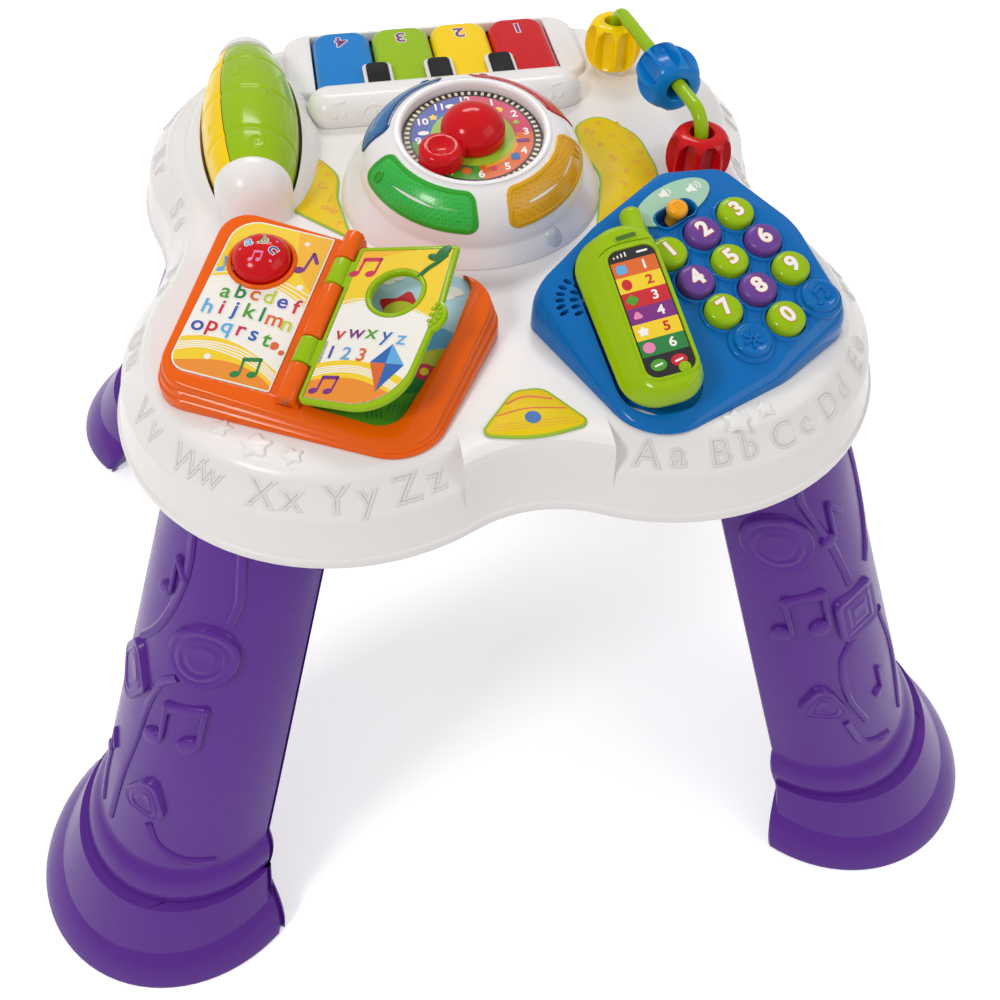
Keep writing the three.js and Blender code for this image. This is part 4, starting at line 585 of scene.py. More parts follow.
def shell_levels():
    """The side of the shell, from the rim up: lip, skirt, letter band, round crest."""
    lip_top = rim_height + lip.height
    ridge_z = deck - ridge.below
    crest_z = deck - crest.below
    flat = crest.inset + crest.flat
    levels = [(0.6, rim_height), (0.1, rim_height + 0.6), (0, rim_height + 1.4), (0, lip_top - 0.6),
              (0.3, lip_top + 0.4), (lip.step - 0.3, lip_top + 0.9), (lip.step + 0.1, lip_top + 1.8),
              (ridge.inset - 0.3, ridge_z - 0.9), (ridge.inset - 0.1, ridge_z - 0.2),
              (ridge.inset + 0.6, ridge_z + 0.6), (crest.inset - 0.8, crest_z - 0.8)]
    for share in (0, 0.2, 0.4, 0.6, 0.8, 1):
        angle = math.radians(45) * (1 - share)
        reach = (crest.flat + 1) * (1 - math.sin(angle) / math.sin(math.radians(45)))
        drop = crest.below * (1 - math.cos(angle)) / (1 - math.cos(math.radians(45)))
        levels.append((crest.inset - 0.5 + reach * (flat - crest.inset + 0.5) / (crest.flat + 1),
                       deck - drop))
    return levels


def barrel_radius(along):
    return roller.radius * math.sqrt(1 - (along / roller.ellipse) ** 2)


roller_axis = move(roller.x, roller.y, deck + roller.above) @ turned(-90, "X")
well_half = 58
well_step = 4
window_half = piano.pitch * 2 + piano.gap / 2
window_rear = piano.rear + piano.gap


def roller_well():
    """The room that the barrel turns in, as a solid."""
    stations = range(-well_half, well_half + 1, well_step)
    return tool(revolved([(barrel_radius(a) + roller.gap, a) for a in stations], 64), roller_axis)


def bar_outline(inset=0.0, steps=12):
    depth = (bar.rear - bar.front) / 2
    return box_outline(bar.half, depth, depth - seat, inset, steps, 0, (bar.front + bar.rear) / 2)


def make_shell():
    shell = piece("tabletop", layered(table_outline, shell_levels()), "white", stands_for=["top_shell"],
                  slot="white_gloss")
    lip_top = rim_height + lip.height
    steep = tool(layered(table_outline, [
        (lip.step + 0.2, lip_top - 1), (platform.foot_inset, lip_top + platform.foot_rise),
        (platform.shoulder_inset - 0.2, deck - platform.shoulder_below - 1),
        (platform.shoulder_inset + 0.3, deck - platform.shoulder_below + 0.9),
        (platform.shoulder_inset + 1.3, deck - 0.7), (platform.top_inset, deck),
        (platform.top_inset + 4, deck),
    ]))
    half = platform.width / 2
    back = table.front_y - table.front_r + platform.depth
    keep = tool(prism(box_outline(half, (back + table.width) / 2, 1, 0, 2, 0, (back - table.width) / 2),
                      rim_height, deck + 5))
    combine(steep, [keep], "INTERSECT")
    steep.data.transform(move(seat * MM, 0, -seat * MM / 3))
    combine(shell, [steep], "UNION")
    hollow = tool(layered(table_outline, [
        (wall, rim_height - 20), (wall, lip_top), (ridge.inset + wall, deck - ridge.below - wall),
        (crest.inset + crest.flat + wall / 2, deck - wall)]))
    well = roller_well()
    front = piano.front - piano.gap * 2
    keys = tool(prism(box_outline(window_half, (window_rear - front) / 2, 1.5, 0, 4, 0,
                                  (window_rear + front) / 2), deck - 9, deck + 30))
    combine(shell, [hollow, well, keys])
    make_cradle()
    make_surround()
    for x, y in (rail.rear, rail.front):
        collar = [(rail.collar + 1.6, deck - 0.2), (rail.collar + 0.5, deck + 0.3),
                  (rail.collar, deck + 1), (rail.collar, deck + rail.collar_height - 0.9),
                  (rail.collar - 0.9, deck + rail.collar_height),
                  (rail.radius + 0.2, deck + rail.collar_height)]
        piece(f"rail_collar_{'rear' if y > 0 else 'front'}", revolved(collar, 48), "white", at=move(x, y),
              slot="white_gloss")


def make_cradle():
    """The raised oval round the roller, with a cap over each end of its axle."""
    def outline(inset):
        return ellipse(cradle.half_width - inset, cradle.half_length - inset, 96, roller.x, roller.y)
    top = deck + cradle.height
    ring = piece("roller_cradle", layered(outline, [
        (-2.2, deck - 0.2), (-0.9, deck + 0.4), (0, deck + 1.4), (cradle.slope * 0.3, top - 3.2),
        (cradle.slope * 0.62, top - 1), (cradle.slope, top), (cradle.slope + 2, top + 0.2),
    ]), "white", slot="white_gloss")
    well = roller_well()
    bar_room = tool(prism(bar_outline(-seat), deck - 1, deck + 30))
    combine(ring, [well, bar_room])
    soften(ring, 0.8, 3, 50)
    for name, radius, sign in (("front", cap.front_r, -1), ("rear", cap.rear_r, 1)):
        face = roller.y + sign * (roller.half + cap.face_gap)
        spring = deck + roller.above + radius * 0.14
        angles = [QUARTER * i / 12 for i in range(13)]
        profile = [(radius + 1.8, deck - 0.2), (radius + 0.5, deck + 0.5), (radius, deck + 2)]
        profile += [(radius * math.cos(a), spring + radius * math.sin(a)) for a in angles]
        bullet = piece(f"roller_cap_{name}", revolved(profile, 72), "white",
                       at=move(roller.x, face + sign * seat), slot="white_gloss")
        slab = tool(prism(box_outline(radius * 2, radius * 2, 1, 0, 2, roller.x, face - sign * radius * 2),
                          deck - 5, deck + 80))
        combine(bullet, [slab])
        soften(bullet, 0.9, 3, 50)


def make_surround():
    """The low white kerb round the keys."""
    rear = window_rear + surround.rear
    half = window_half + surround.side
    middle = (surround.front + rear) / 2
    depth = (rear - surround.front) / 2
    top = deck + surround.height

    def outline(inset):
        return box_outline(half, depth, surround.corner, inset, 10, 0, middle)
    kerb = piece("piano_surround", layered(outline, [
        (0, deck - 7), (0, deck - 0.5), (0.4, top - 2), (1.1, top - 0.8), (2.2, top - 0.1), (3, top)]),
        "white", slot="white_gloss")
    keys = tool(prism(box_outline(window_half, (window_rear - 70) / 2, 2, 0, 4, 0, (window_rear + 70) / 2),
                      deck - 12, deck + 30))
    well = roller_well()
    combine(kerb, [keys, well])
    soften(kerb, 0.8, 3, 50)


# Ornament helpers

def merged(shapes):
    """Several shapes as one."""
    points = []
    faces = []
    for some, sides in shapes:
        start = len(points)
        points += [p.to_3d() for p in some]
        faces += [tuple(start + i for i in side) for side in sides]
    return points, faces


def bent(shape, mapping):
    """A flat shape laid over a surface: mapping takes x, y and height to a place."""
    points, faces = shape
    return [mapping(p.to_3d()) for p in points], faces


def tilted(outline, degrees, x=0, y=0):
    c, s = math.cos(math.radians(degrees)), math.sin(math.radians(degrees))
    return [Vector((x + p[0] * c - p[1] * s, y + p[0] * s + p[1] * c)) for p in outline]


def star(radius, inset=0.0, x=0, y=0, first=90, waist=0.52):
    corners = []
    for i in range(10):
        angle = math.radians(first + i * 36)
        reach = radius if i % 2 == 0 else radius * waist
        corners.append((x + reach * math.cos(angle), y + reach * math.sin(angle), radius * 0.14))
    return rounded(corners, inset, 3)


def polygon(radius, sides, inset=0.0, corner=0.3, first=90, wide=1.0):
    angles = [math.radians(first + i * 360 / sides) for i in range(sides)]
    return rounded([(radius * wide * math.cos(a), radius * math.sin(a), radius * corner) for a in angles],
                   inset, 5)


def pad(outline_at, low, high, edge=0.0):
    """A flat or pillow-edged plate over an outline."""
    levels = [(0, low), (0, high)] if not edge else [(0, low)] + pillow(edge, high, 3)
    return layered(outline_at, levels)


def stroke(x0, y0, x1, y1, half, low, high, edge=0.0):
    """A straight thick line with round ends."""
    length = math.hypot(x1 - x0, y1 - y0) / 2 + half
    angle = math.degrees(math.atan2(y1 - y0, x1 - x0))
    place = ((x0 + x1) / 2, (y0 + y1) / 2)
    return pad(lambda inset: tilted(box_outline(length, half, half * 0.95, inset, 4), angle, *place), low,
               high, edge)


def note(size, double=False, low=-0.2, high=0.15, edge=0.0):
    """A quaver, or two under a beam."""
    def head(x, y):
        return pad(lambda inset: tilted(ellipse(size * 0.18 - inset, size * 0.13 - inset, 20), 24, size * x,
                                        size * y), low, high, edge)

    def line(x0, y0, x1, y1, half):
        return stroke(size * x0, size * y0, size * x1, size * y1, size * half, low, high * 0.96, edge * 0.9)
    if double:
        return merged([head(-0.34, -0.36), head(0.24, -0.26), line(-0.2, -0.3, -0.2, 0.3, 0.045),
                       line(0.38, -0.2, 0.38, 0.42, 0.045), line(-0.18, 0.3, 0.36, 0.4, 0.085)])
    return merged([head(-0.12, -0.36), line(0.03, -0.3, 0.03, 0.42, 0.045),
                   line(0.05, 0.4, 0.28, 0.12, 0.065)])


def ribbon(points, half, low, high, edge=0.0):
    """A curved band of even width through points, as one closed outline."""
    path = smooth_path(points, 8)
    left = []
    right = []
    for i, p in enumerate(path):
        along = (path[min(i + 1, len(path) - 1)] - path[max(i - 1, 0)]).normalized()
        across = Vector((-along.y, along.x)) * half
        left.append(p + across)
        right.append(p - across)
    outline = right + left[::-1]
    if not edge:
        return prism(outline, low, high)
    middle = path + path[::-1]
    inner = [q + (m - q) * 0.5 for q, m in zip(outline, middle)]
    return loft([level(outline, low), level(outline, high - edge), level(inner, high)])


def smooth_path(points, steps):
    """A smooth curve through points, by Catmull and Rom's rule."""
    points = [Vector(p) for p in points]
    full = [points[0] * 2 - points[1]] + points + [points[-1] * 2 - points[-2]]
    path = []
    for i in range(1, len(full) - 2):
        p0, p1, p2, p3 = full[i - 1:i + 3]
        for k in range(steps):
            t = k / steps
            path.append((p1 * 2 + (p2 - p0) * t + (p0 * 2 - p1 * 5 + p2 * 4 - p3) * t * t
                         + (p1 * 3 - p0 - p2 * 3 + p3) * t ** 3) / 2)
    return path + [points[-1]]


# Letter band and stars

band_starts = [48, 79, 108.5, 138, 170] + [170 + 49.9 * i for i in range(1, 17)] + [1016, 1053, 1090, 1121,
    1150]
letters = "abcdefghijklmnopqrstuvwxyz"
small_step = 13


def make_band_letters():
    """Raised outlines of the alphabet on the slope round the tabletop."""
    slope_inset = (ridge.inset + crest.inset) / 2 + 0.3
    slope_z = deck - (ridge.below + crest.below) / 2
    line = table_outline(slope_inset, 2)
    lengths = [0]
    for a, b in zip(line, line[1:] + line[:1]):
        lengths.append(lengths[-1] + (b - a).length)
    run = crest.inset - ridge.inset
    rise = ridge.below - crest.below
    tilt = math.atan2(rise, run)

    def station(distance):
        for i in range(len(line)):
            if lengths[i + 1] >= distance:
                a, b = line[i], line[(i + 1) % len(line)]
                share = (distance - lengths[i]) / (lengths[i + 1] - lengths[i])
                return a + (b - a) * share, (b - a).normalized()
        return line[0], (line[1] - line[0]).normalized()

    for letter, start in zip(letters, band_starts):
        for mark, offset, size in ((letter.upper(), 0, 16.5), (letter, small_step, 16)):
            place, along = station(start + offset)
            up = Vector((-along.y * math.cos(tilt), along.x * math.cos(tilt), math.sin(tilt)))
            out = along.to_3d().cross(up)
            frame_at = Matrix((along.to_3d(), up, out)).transposed().to_4x4()
            frame_at.translation = (place.x, place.y, slope_z)
            lift = frame_at @ move(y=1.2 if offset else 0.6, z=0.1)
            # The letters take the greyer band plastic, whose grey is painted shade
            words(f"band_{'small' if offset else 'capital'}_{letter}", mark, size, "band", lift,
                  tube_radius=0.75)


star_places = [(-127.6, -146.1, 5.2, 60), (-113.9, -158.2, 7.8, 80), (-99.4, -166.3, 5.2, 96),
               (84.8, -176.1, 7, 84), (98.4, -171.2, 4.6, 100)]


def make_stars():
    for i, (x, y, radius, first) in enumerate(star_places):
        shape = layered(lambda inset: star(radius, inset, x, y, first, 0.55),
                        [(-0.6, deck - 0.3), (0, deck + 0.6), (0.25, deck + 1), (0.8, deck + 1.2)])
        piece(f"deck_star_{i + 1}", shape, "white", slot="white_gloss", angle=50)


# Roller

def groove_depth(along):
    depth = 0
    for k in (-1, 0, 1):
        near = abs(along - k * roller.pitch) / (roller.groove_width * 0.55)
        depth = max(depth, roller.groove * math.exp(-near ** 2))
    return depth


def make_roller():
    """A barrel in two coloured halves, with grooves round it and faint raised signs."""
    bore = 3.6
    count = 72
    for name, start in (("green", -roller.seam - 90), ("yellow", -roller.seam + 90)):
        rings = []
        ends = [(-roller.half, 1.2), (-roller.half + 0.4, 0.4)]
        stations = ends + [(-roller.half + 1.2 + i * (2 * roller.half - 2.4) / 120, 0) for i in range(121)]
        stations += [(roller.half - 0.4, 0.4), (roller.half, 1.2)]
        for along, less in stations:
            outer = []
            for i in range(count + 1):
                edge = 0.35 / roller.radius
                angle = math.radians(start) + edge + (math.pi - 2 * edge) * i / count
                seam_cut = 0.35 if i in (0, count) else 0
                r = barrel_radius(along) - less - groove_depth(along) - seam_cut
                outer.append(Vector((r * math.cos(angle), -r * math.sin(angle), along)))
            inner = [Vector((p.x, p.y, 0)).normalized() * bore + Vector((0, 0, along)) for p in outer]
            rings.append(outer + inner[::-1])
        node = f"roller_{name}_half"
        recalculate(piece(f"roller_{name}", loft(rings), name, "roller", roller_axis, [node], name, 40))
    signs = [("triangle", 42, 18), ("star", 60, -2), ("square", 36, -24), ("ring", 78, -44),
             ("note", 96, 18), ("star_two", 142, -20), ("triangle_two", 150, 20), ("ring_two", 168, 2),
             ("note_two", 250, 18), ("square_two", 290, -20)]
    for name, degrees, along in signs:
        kind = name.split("_")[0]

        def lay(p):
            length = along + p.y
            if abs(length) > roller.half:
                length = math.copysign(roller.half, length)
            r = barrel_radius(length) + p.z
            angle = math.radians(degrees) - p.x / roller.radius
            return Vector((r * math.cos(angle), -r * math.sin(angle), length))
        outline = {"triangle": lambda inset: polygon(6.5, 3, inset), "star": lambda inset: star(4.6, inset),
                   "square": lambda inset: polygon(6, 4, inset, 0.2, 45),
                   "ring": lambda inset: circle(5 - inset, 32)}.get(kind)
        shape = note(11, False, -0.6, 0.2, 0.15) if kind == "note" else layered(outline,
            [(-0.2, -0.6), (0, 0.05), (0.3, 0.2), (0.9, 0.2), (1.2, 0.02), (3.4, 0)])
        turned_angle = (degrees + roller.seam + 90) % 360
        look = "green" if turned_angle < 180 else "yellow"
        made = piece(f"roller_sign_{name}", bent(shape, lay), look, "roller", roller_axis, slot=look,
                     angle=45)
        recalculate(made)


# Piano

key_names = ["blue", "green", "yellow", "red"]


def make_piano():
    for i, name in enumerate(key_names):
        make_key(i, name)
    make_bar()
    for k, side in ((-1, "left"), (0, "middle"), (1, "right")):
        make_black_pad(k, side)


def make_key(index, name):
    half = (piano.pitch - piano.gap) / 2
    middle = (index - 1.5) * piano.pitch
    corners = [(middle - half, piano.front, piano.front_corner),
               (middle + half, piano.front, piano.front_corner),
               (middle + half, piano.rear, piano.rear_corner),
               (middle - half, piano.rear, piano.rear_corner)]
    top = deck + piano.above
    low = deck - piano.below
    look = "key_blue" if name == "blue" else name
    body_name = f"piano_key_{name}"
    body = piece(f"key_{name}", layered(lambda inset: rounded(corners, inset, 8),
                                        [(0, low), *pillow(piano.edge, top, 10)]),
                 look, body_name, stands_for=[body_name], slot=name, angle=50)
    combine(body, [tool(prism(box_outline(half + 1, 7, 1, 0, 2, middle, 81), low - 1, deck))], angle=50)
    turn_round = move(middle, piano.rear - 14, top + 0.06) @ turned(180)
    edged_words(f"key_{name}_number", str(4 - index), 14, "ink_purple", turn_round, body_name,
                0.1, 0.25, 0.08, 0.75)


def make_bar():
    """The white bar over the key rod, with faint swirls and notes on its slopes."""
    top = deck + bar.height
    body = piece("bar", layered(lambda inset: bar_outline(inset, 16),
                                [(0, deck + seat), *pillow(bar.edge, top, 14)]), "white",
                 stands_for=["piano_bar"], slot="white_gloss", angle=50)
    rear = bar.rear
    margin = 2
    pads = []
    for k in (-1, 0, 1):
        half = piano.pad_width / 2 + margin
        low = deck + piano.above + seat * 3
        long = rear - bar.edge / 4 + piano.pad_length + margin
        front = rear - 12
        depth = (long - front) / 2
        centre = (k * piano.pitch, (long + front) / 2)
        levels = [(0.3, low), (0, low + 0.3), (0, low + 1.7), (0.5, low + 2.2)]
        pads.append(tool(layered(lambda inset: box_outline(half, depth, 3.4, inset, 6, *centre), levels)))
    combine(body, pads, "UNION", 50)
    channel = tool(prism(box_outline(window_half, 60, 0.5, 0, 2, 0, piano.front - 2 + 60), deck - 5,
                         deck + 9.2))
    combine(body, [channel], angle=50)
    soften(body, 0.5, 2, 55, 50)
    for i in range(7):
        x = -60 + i * 20
        path = [(x - 8, 0.5), (x - 5, 4.2), (x, 5.4), (x + 4, 3), (x + 2, 0.4), (x - 1, 1.6), (x + 0.5, 3)]

        def lay(p):
            angle = math.radians(80) - p.y * 0.105
            y = bar.front + bar.edge * (1 - math.sin(angle))
            radial = Vector((0, -math.sin(angle), math.cos(angle)))
            base = Vector((p.x, y, top - bar.edge + bar.edge * math.cos(angle)))
            return base + radial * p.z
        if i % 3:
            shape = bent(ribbon(path, 0.7, -0.4, 0.45, 0.3), lay)
        else:
            shape = bent(note(9, i % 2 == 0, -0.4, 0.5, 0.3),
                         lambda p: lay(Vector((x + p.x, 4.5 + p.y, p.z))))
        made = piece(f"bar_swirl_{i + 1}", shape, "white", slot="white_gloss", angle=50)
        recalculate(made)


def make_black_pad(k, side):
    low = deck + piano.above + seat * 3 + 2.2
    front = bar.rear - bar.edge / 4 - 6
    rear = bar.rear - bar.edge / 4 + piano.pad_length
    centre = (k * piano.pitch, (front + rear) / 2)
    half, depth = piano.pad_width / 2, (rear - front) / 2
    levels = [(0, low - 0.4), (0, low + 1.1), (0.35, low + 1.55), (1.1, low + 1.7)]
    piece(f"pad_{side}", layered(lambda inset: box_outline(half, depth, 2.8, inset, 6, *centre), levels),
          "black", stands_for=[f"black_pad_{side}"], slot="black", angle=50)


# Clock dome

dome_frame = move(dome.x, dome.y, deck) @ turned(dome.lean, "X")
shoulder_x = dome.wall_r - dome.shoulder
shoulder_z = dome.height - dome.shoulder
dial_floor = dome.height - dome.drop - 1.3 - seat
dial_top = dial_floor + seat + 1.3


def shoulder_point(degrees, extra=0.0):
    r = dome.shoulder + extra
    return shoulder_x + r * math.cos(math.radians(degrees)), shoulder_z + r * math.sin(math.radians(degrees))


def make_dome():
    flare = dome.foot_r - dome.wall_r
    profile = [(dome.foot_r, -12)]
    for i in range(25):
        rise = i / 24
        profile.append((dome.wall_r + flare * abs(math.cos(rise * QUARTER)) ** 1.1, shoulder_z * rise))
    profile += [shoulder_point(a) for a in range(4, 79, 3)]
    recess = dome.dial_r + seat
    profile += [(recess + 3.4, dome.height - 0.05), (recess + 2.2, dome.height + 0.25),
                (recess + 1.1, dome.height + 0.1),
                (recess + 0.4, dome.height - 0.5), (recess, dome.height - 1.4), (recess, dial_floor),
                (4.7, dial_floor), (4.7, dial_floor - dome.wall),
                (recess, dial_floor - dome.wall)]
    profile += [shoulder_point(a, -dome.wall) for a in range(74, -1, -6)]
    profile += [(dome.foot_r - 4, -12)]
    body = piece("dome", revolved(profile, 144, True), "dome", at=dome_frame, stands_for=["clock_dome"],
                 slot="white_gloss", angle=40)
    under = tool(prism(box_outline(120, 120, 1, 0, 2), -60, seat), move(dome.x, dome.y, deck))
    combine(body, [under], angle=40)
    bump = []
    for i in range(25):
        angle = math.pi * i / 24
        bump.append((max(math.sin(angle), 0.001), -math.cos(angle)))
    # The bump is white plastic; its grey colour is painted shade
    at = dome_frame @ turned(-57) @ move(58.5 - 1.2, 0, 7) @ turned(-6,
        "Y") @ Matrix.Diagonal((5.4, 6.6, 10.2, 1))
    piece("sensor_bump", revolved(bump, 48), "shaded_bump", at=at, slot="white_gloss", angle=60)


lens_places = [("rear_right", 0, "red"), ("rear_left", 1, "blue"), ("front_left", 2, "green"),
               ("front_right", 3, "amber")]


def lens_point(quarter, x, y, out, width, height):
    """A point of a lens, x along it and y up it, both from its middle."""
    degrees = lens.start + (0.5 + y / height) * (lens.end - lens.start)
    radius, z = shoulder_point(degrees, out)
    edge = math.asin(min(0.9, lens.gap / 2 / radius))
    turn = edge + (0.5 - x / width) * (QUARTER - 2 * edge)
    angle = turn + quarter * QUARTER + math.radians(dome.turn)
    return Vector((radius * math.cos(angle), radius * math.sin(angle), z))


def make_lenses():
    for place, quarter, colour in lens_places:
        height = dome.shoulder * math.radians(lens.end - lens.start)
        width = (shoulder_x + dome.shoulder * 0.72) * QUARTER - lens.gap
        edge = [(0.1, -1.2), (0, 0), (0.15, 0.35), (0.6, 0.6), (2.2, 0.6), (2.7, 0.25)]
        rings = even_rings(quarter, width, height, edge)
        rim = piece(f"lens_{place}_rim", loft(rings, True), f"lens_{colour}_rim", at=dome_frame,
                    stands_for=[f"lens_{place}"], slot=f"lens_{colour}", angle=50)
        recalculate(rim)
        fields = [(2.5, -0.8), (2.5, 0.3)] + [(2.5 + i * 0.9, 0.3) for i in range(1, 9)]
        middle = piece(f"lens_{place}_field", loft(even_rings(quarter, width, height, fields)),
                       f"lens_{colour}", at=dome_frame, slot=f"lens_{colour}", angle=50)
        recalculate(middle)
        boss = layered(lambda inset: ellipse(2.4 - inset, 3.6 - inset, 32),
                       [(0, -0.2), (0, 0.7), (0.3, 1), (0.9, 1.05), (1.2, 0.5), (2, 0.45)])
        side = -1 if quarter in (3, 0) else 1
        at_x = (width / 2 - 8) * side
        knob_like = bent(boss, lambda p: lens_point(quarter, at_x + p.x, -2.5 + p.y, p.z, width, height))
        recalculate(piece(f"lens_{place}_boss", knob_like, f"lens_{colour}_rim", at=dome_frame,
                          slot=f"lens_{colour}", angle=50))


def even_rings(quarter, width, height, levels):
    """Rounded-rectangle rings of one count, laid over the shoulder."""
    rings = []
    for inset, out in levels:
        half_x, half_y = width / 2 - inset, height / 2 - inset
        corner = max(5.5 - inset, 0.6)
        flat = []
        signs = ((1, -1), (1, 1), (-1, 1), (-1, -1))
        centres = [(u * (half_x - corner), v * (half_y - corner)) for u, v in signs]
        for k in range(4):
            first, last = math.radians(k * 90 - 90), math.radians(k * 90)
            flat += arc(*centres[k], corner, first, last, 8)
            start = flat[-1]
            end = arc(*centres[(k + 1) % 4], corner, last, last, 1)[0]
            flat += [start + (end - start) * i / 24 for i in range(1, 24)]
        rings.append([lens_point(quarter, p.x, p.y, out, width, height) for p in flat])
    return rings


def sector(inner, outer, start, end, low, high, steps=24):
    """A slice of a ring; angles in degrees clockwise from twelve."""
    first, last = math.radians(90 - end), math.radians(90 - start)
    return prism(arc(0, 0, outer, first, last, steps) + arc(0, 0, inner, last, first, steps), low, high)


def make_dial():
    z = dial_top
    ride = {"at": dome_frame, "slot": "printed_card"}
    piece("dial_card", revolved([(5, z - 1.3), (dome.dial_r - 0.2, z - 1.3), (dome.dial_r - 0.2, z - 0.2),
                                 (dome.dial_r - 0.5, z), (5, z)], 96, True),
          "ink_tick", stands_for=["clock_dial"], **ride)
    ticks = merged([sector(30.9, 33.2, i * 6 - 1.3, i * 6 + 1.3, z - 0.1, z + 0.08, 2) for i in range(60)])
    piece("dial_ticks", ticks, "card", **ride)
    quarters = [("pink", "red"), ("orange", "pale"), ("green", "dark_green"), ("violet", "blue")]
    for i, (name, inner) in enumerate(quarters):
        start = i * 90
        piece(f"dial_{name}", sector(16, 29.8, start, start + 90, z - 0.1, z + 0.1, 40), f"ink_{name}",
              **ride)
        piece(f"dial_{name}_inner", sector(15, 22.5, start + 8, start + 82, z - 0.1, z + 0.16, 40),
              f"ink_{inner}", **ride)
    piece("dial_middle", revolved([(5, z), (20.5, z), (20.5, z + 0.22), (5, z + 0.22)], 96, True),
          "lime_ink", **ride)
    for hour in range(1, 13):
        angle = math.radians(90 - hour * 30)
        at = dome_frame @ move(26.6 * math.cos(angle), 26.6 * math.sin(angle), z + 0.2)
        words(f"dial_number_{hour}", str(hour), 6.4, "ink_white", at, thick=0.12, bold=0.16)
    icons = [(15, 24.2, "card", lambda i: ellipse(2.6 - i, 1.7 - i, 24)),
             (42, 23.6, "ink_yellow", lambda i: ellipse(2.2 - i, 1.8 - i, 24)),
             (72, 24, "lime_ink", lambda i: polygon(2.4, 3, i, 0.3)),
             (104, 24.6, "ink_purple", lambda i: box_outline(3.2, 1.2, 0.4, i)),
             (132, 24.6, "ink_blue", lambda i: box_outline(2, 2.2, 0.5, i)),
             (164, 24.2, "ink_pink", lambda i: circle(1.5 - i, 20)),
             (196, 24.2, "ink_orange", lambda i: circle(2.3 - i, 24)),
             (224, 24, "ink_yellow", lambda i: star(2.4, i)),
             (254, 24, "ink_red", lambda i: circle(1.8 - i, 20)),
             (283, 24, "ink_white", lambda i: ellipse(2.8 - i, 1.5 - i, 24)),
             (313, 23.4, "ink_yellow", lambda i: star(2.7, i)),
             (342, 24.2, "ink_white", lambda i: ellipse(2.6 - i, 1.6 - i, 24))]
    for k, (bearing, reach, look, outline_at) in enumerate(icons):
        angle = math.radians(90 - bearing)
        at = dome_frame @ move(reach * math.cos(angle), reach * math.sin(angle), z)
        piece(f"dial_icon_{k + 1}", pad(outline_at, 0, 0.26), look, at=at, slot="printed_card")


def make_knob():
    """The red hand: a round boss with a thick pad at the end of a short arm."""
    bottom = dial_top + 0.45
    at = dome_frame @ turned(knob.pointing)
    profile = [(4.2, bottom - 7), (4.2, bottom), (knob.radius - 0.6, bottom),
               (knob.radius, bottom + 0.6), (knob.radius, bottom + knob.height * 0.28)]
    dome_height = knob.height * 0.72
    profile += [(knob.radius * math.cos(a), bottom + knob.height - dome_height + dome_height * math.sin(a))
                for a in [QUARTER * i / 16 for i in range(1, 17)]]
    body = piece("hand_knob", revolved(profile, 96), "red", "clock_knob", at, ["clock_knob"], "red", 60)
    levels = [(0.5, bottom), (0, bottom + 0.5), *pillow(3.4, bottom + knob.pad_height, 8)]
    round_pad = tool(layered(lambda inset: circle(knob.pad_r - inset, 64, knob.reach), levels), at)
    half = knob.reach / 2
    levels = [(0.4, bottom), (0, bottom + 0.4), *pillow(2.6, bottom + knob.pad_height - 1.2, 6)]
    neck = tool(layered(lambda inset: box_outline(half, knob.neck / 2, 1.5, inset, 6, half), levels), at)
    combine(body, [neck, round_pad], "UNION", 60)
    ball_r = (knob.dimple_r ** 2 + knob.dimple ** 2) / (2 * knob.dimple)
    ball = [(max(ball_r * math.sin(math.pi * i / 48), 0.001), -ball_r * math.cos(math.pi * i / 48))
            for i in range(49)]
    ball_at = at @ move(knob.reach, 0, bottom + knob.pad_height + ball_r - knob.dimple)
    combine(body, [tool(revolved(ball, 64), ball_at)], angle=60)
    soften(body, 1.1, 4, 28, 60)


# Beads and rail

rail_run = Vector((rail.front[0] - rail.rear[0], rail.front[1] - rail.rear[1], 0))
rail_along = rail_run.normalized()


def make_rail():
    length = rail_run.length
    rear = Vector((*rail.rear, 0))
    top = deck + rail.height
    path = [Vector((0, deck - 6)), Vector((0, deck + 4)), Vector((0, top - rail.bend))]
    path += [Vector((rail.bend * (1 - math.cos(a)), top - rail.bend * (1 - math.sin(a))))
             for a in [QUARTER * i / 12 for i in range(1, 13)]]
    path += [Vector((length - p.x, p.y)) for p in reversed(path)]
    across = Vector((-rail_along.y, rail_along.x, 0))
    rings = []
    for i, p in enumerate(path):
        along = (path[min(i + 1, len(path) - 1)] - path[max(i - 1, 0)]).normalized()
        centre = rear + rail_along * p.x + Vector((0, 0, p.y))
        normal = rail_along * along.y - Vector((0, 0, 1)) * along.x
        rings.append([centre + normal * q.x + across * q.y for q in circle(rail.radius, 32)])
    recalculate(piece("rail_tube", loft(rings), "green", stands_for=["bead_rail"], slot="green", angle=60))


